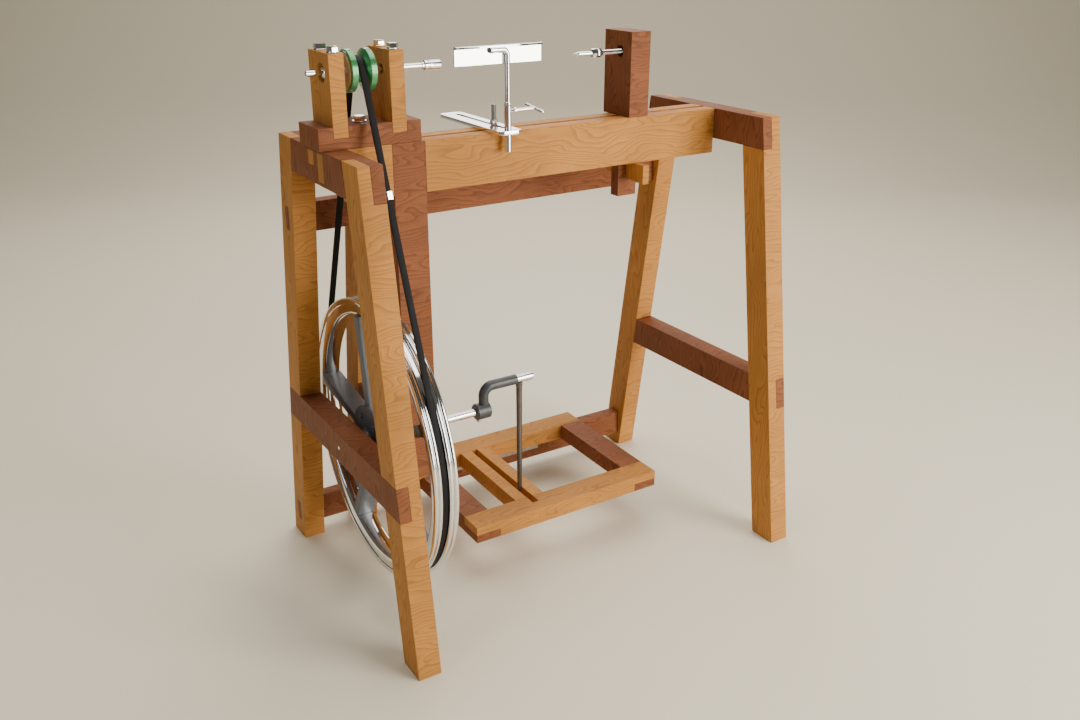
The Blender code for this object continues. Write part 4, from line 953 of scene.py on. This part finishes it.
def add_rest_handle():
    """A screw with a collar, and a tapering cross bar to turn it by."""
    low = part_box("rest_clamp_handle")[0]
    sleeve = middle("rest_sleeve")
    x, y, z = sleeve.x, sleeve.y, joint_at("rest_thumbscrew_turn").z
    screw, collar, arm = 0.0030, 0.0052, 0.0036
    start, end = low.x, x + 0.057
    profile = [(start, 0.0), (start, screw - 0.0008), (start + 0.0008, screw)]
    profile += threaded(start + 0.001, x + 0.0118, screw, 0.0010)
    profile += [(x + 0.0120, screw), (x + 0.0120, collar - 0.0005), (x + 0.0125, collar),
                (x + 0.0175, collar), (x + 0.0180, collar - 0.0005), (x + 0.0190, 0.0031),
                (x + 0.0300, 0.0030), (end - 0.004, arm), (end, arm), (end, 0.0)]
    turned("handle_screw", profile, (0.0, y, z), "rest_thumbscrew", [CHROME],
           ("rest_clamp_handle",), steps=48)
    half, tilt, sides = 0.030, math.radians(6.0), 28
    one_end = [(1.0, 0.2), (0.995, 0.55), (0.975, 0.84), (0.94, 0.98), (0.90, 1.0), (0.4, 0.92)]
    stations = [(-along, share) for along, share in one_end] + [(0.0, 0.88)] + one_end[::-1]
    turn = Matrix.Translation((end, y, z)) @ Matrix.Rotation(tilt, 4, "X")
    work = bmesh.new()
    rings = []
    for along, share in stations:
        ring = []
        for k in range(sides):
            angle = 2 * math.pi * k / sides
            offset = (0.0038 * share * math.cos(angle), half * along, 0.0030 * share * math.sin(angle))
            ring.append(work.verts.new(turn @ Vector(offset)))
        rings.append(ring)
    skin(work, rings)
    new_piece("handle_cross_bar", finished_mesh(work, 60.0), "rest_thumbscrew", [CHROME])


# ---------------------------------------------------------------- tailstock

def add_tail_screw():
    """A pointed screw with two hexagons on it."""
    low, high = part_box("tail_screw")
    centre = (0.0, SPINDLE.y, SPINDLE.z)
    radius = 0.0043
    collar = (low.x + 0.045, low.x + 0.066)
    profile = [(low.x, 0.0), (low.x + 0.0004, 0.0003), (low.x + 0.012, 0.0036),
               (low.x + 0.0125, radius - 0.0006), (low.x + 0.014, radius), (collar[1], radius)]
    profile += threaded(collar[1] + 0.004, high.x - 0.004, radius, 0.0015)
    profile += [(high.x - 0.002, radius - 0.0006), (high.x, radius - 0.0016), (high.x, 0.0)]
    work = bmesh.new()
    revolve(work, profile, centre, "x", 64)
    add_hex_head(work, centre, collar[0], collar[0] + 0.011, 0.0155, "x", 0.0)
    add_hex_head(work, centre, collar[0] + 0.0115, collar[1], 0.0150, "x", 30.0, True)
    neck = [(collar[0] + 0.0108, 0.0), (collar[0] + 0.0108, 0.0066), (collar[0] + 0.0118, 0.0066),
            (collar[0] + 0.0118, 0.0)]
    revolve(work, neck, centre, "x", 48)
    new_piece("tail_centre", finished_mesh(work, 30.0), "tail_screw", [CHROME], ("tail_screw",))


# ---------------------------------------------------------------- plain fittings

def add_fittings():
    refined("headstock_clamp_plate", "root", [STEEL], 0.0010)
    for node in ("hinge_fixed_leaf", "hinge_moving_leaf"):
        refined(node, body_of_node(node), [STEEL], 0.0003)


# ---------------------------------------------------------------- stage

def add_stage():
    """A seamless floor and back wall across the view, four softboxes and a dim surround."""
    turn = math.radians(CAMERA_TURN[2])
    away = Vector((-math.sin(turn), math.cos(turn), 0.0))
    across = Vector((away.y, -away.x, 0.0))
    wall, sweep, half_width = 5.5, 2.2, 11.0
    profile = [(-8.0, 0.0), (wall - sweep, 0.0)]
    profile += [(a, b) for a, b in arc((wall - sweep, sweep), sweep, -90.0, 0.0, 24)]
    profile += [(wall, 6.0)]
    work = bmesh.new()
    rows = []
    for out, up in profile:
        middle_of_row = away * out + Vector((0.0, 0.0, up - 0.0005))
        rows.append([work.verts.new(middle_of_row + across * side) for side in (-half_width, half_width)])
    for a, b in zip(rows, rows[1:]):
        work.faces.new((a[0], a[1], b[1], b[0]))
    mesh = bpy.data.meshes.new("backdrop")
    work.to_mesh(mesh)
    work.free()
    mesh.shade_smooth()
    backdrop = bpy.data.objects.new("backdrop", mesh)
    bpy.context.scene.collection.objects.link(backdrop)
    tree = Tree("backdrop")
    soft = tree.noise(tree.coordinates("Object"), 2.0, 2.0)
    tree.set(Base_Color=tree.mix(soft, (0.84, 0.77, 0.60), (0.86, 0.79, 0.62)), Roughness=0.6)
    mesh.materials.append(tree.material)

    world = bpy.data.worlds.new("studio")
    bpy.context.scene.world = world
    world.use_nodes = True
    background = world.node_tree.nodes["Background"]
    background.inputs["Color"].default_value = (1.0, 0.95, 0.86, 1.0)
    background.inputs["Strength"].default_value = 0.10

    lights = (
        ("key", (1.45, -2.75, 1.25), (1.7, 2.3), 140.0, (1.0, 0.95, 0.87)),
        ("top", (0.6, 0.8, 4.2), (4.5, 3.5), 190.0, (1.0, 0.96, 0.90)),
        ("fill", (-2.9, -0.9, 1.5), (0.45, 2.2), 12.0, (0.97, 0.98, 1.0)),
        ("back", (1.9, 3.0, 2.2), (2.2, 1.6), 40.0, (1.0, 0.92, 0.90)),
    )
    for name, place, size, power, colour in lights:
        data = bpy.data.lights.new(name, "AREA")
        data.shape = "RECTANGLE"
        data.size, data.size_y = size
        data.energy = power
        data.color = colour
        light = bpy.data.objects.new(name, data)
        light.location = place
        light.rotation_euler = (Vector((0.0, 0.0, 0.6)) - Vector(place)).to_track_quat("-Z", "Y").to_euler()
        bpy.context.scene.collection.objects.link(light)


def add_camera():
    data = bpy.data.cameras.new("camera")
    data.lens = LENS
    data.sensor_width = 36.0
    data.shift_x, data.shift_y = SHIFT
    camera = bpy.data.objects.new("camera", data)
    camera.location = CAMERA_AT
    camera.rotation_euler = [math.radians(angle) for angle in CAMERA_TURN]
    bpy.context.scene.collection.objects.link(camera)
    bpy.context.scene.camera = camera


add_camera()
add_timber()
add_flywheel_rim()
add_flywheel_spider()
add_axle_and_crank()
add_pitman()
add_axle_bushes()
add_spindle()
add_pulley()
add_spindle_bearings()
add_bolts()
add_belt()
add_rest_stud()
add_star_nut()
add_rest_base()
add_tool_rest()
add_rest_handle()
add_tail_screw()
add_fittings()
add_stage()
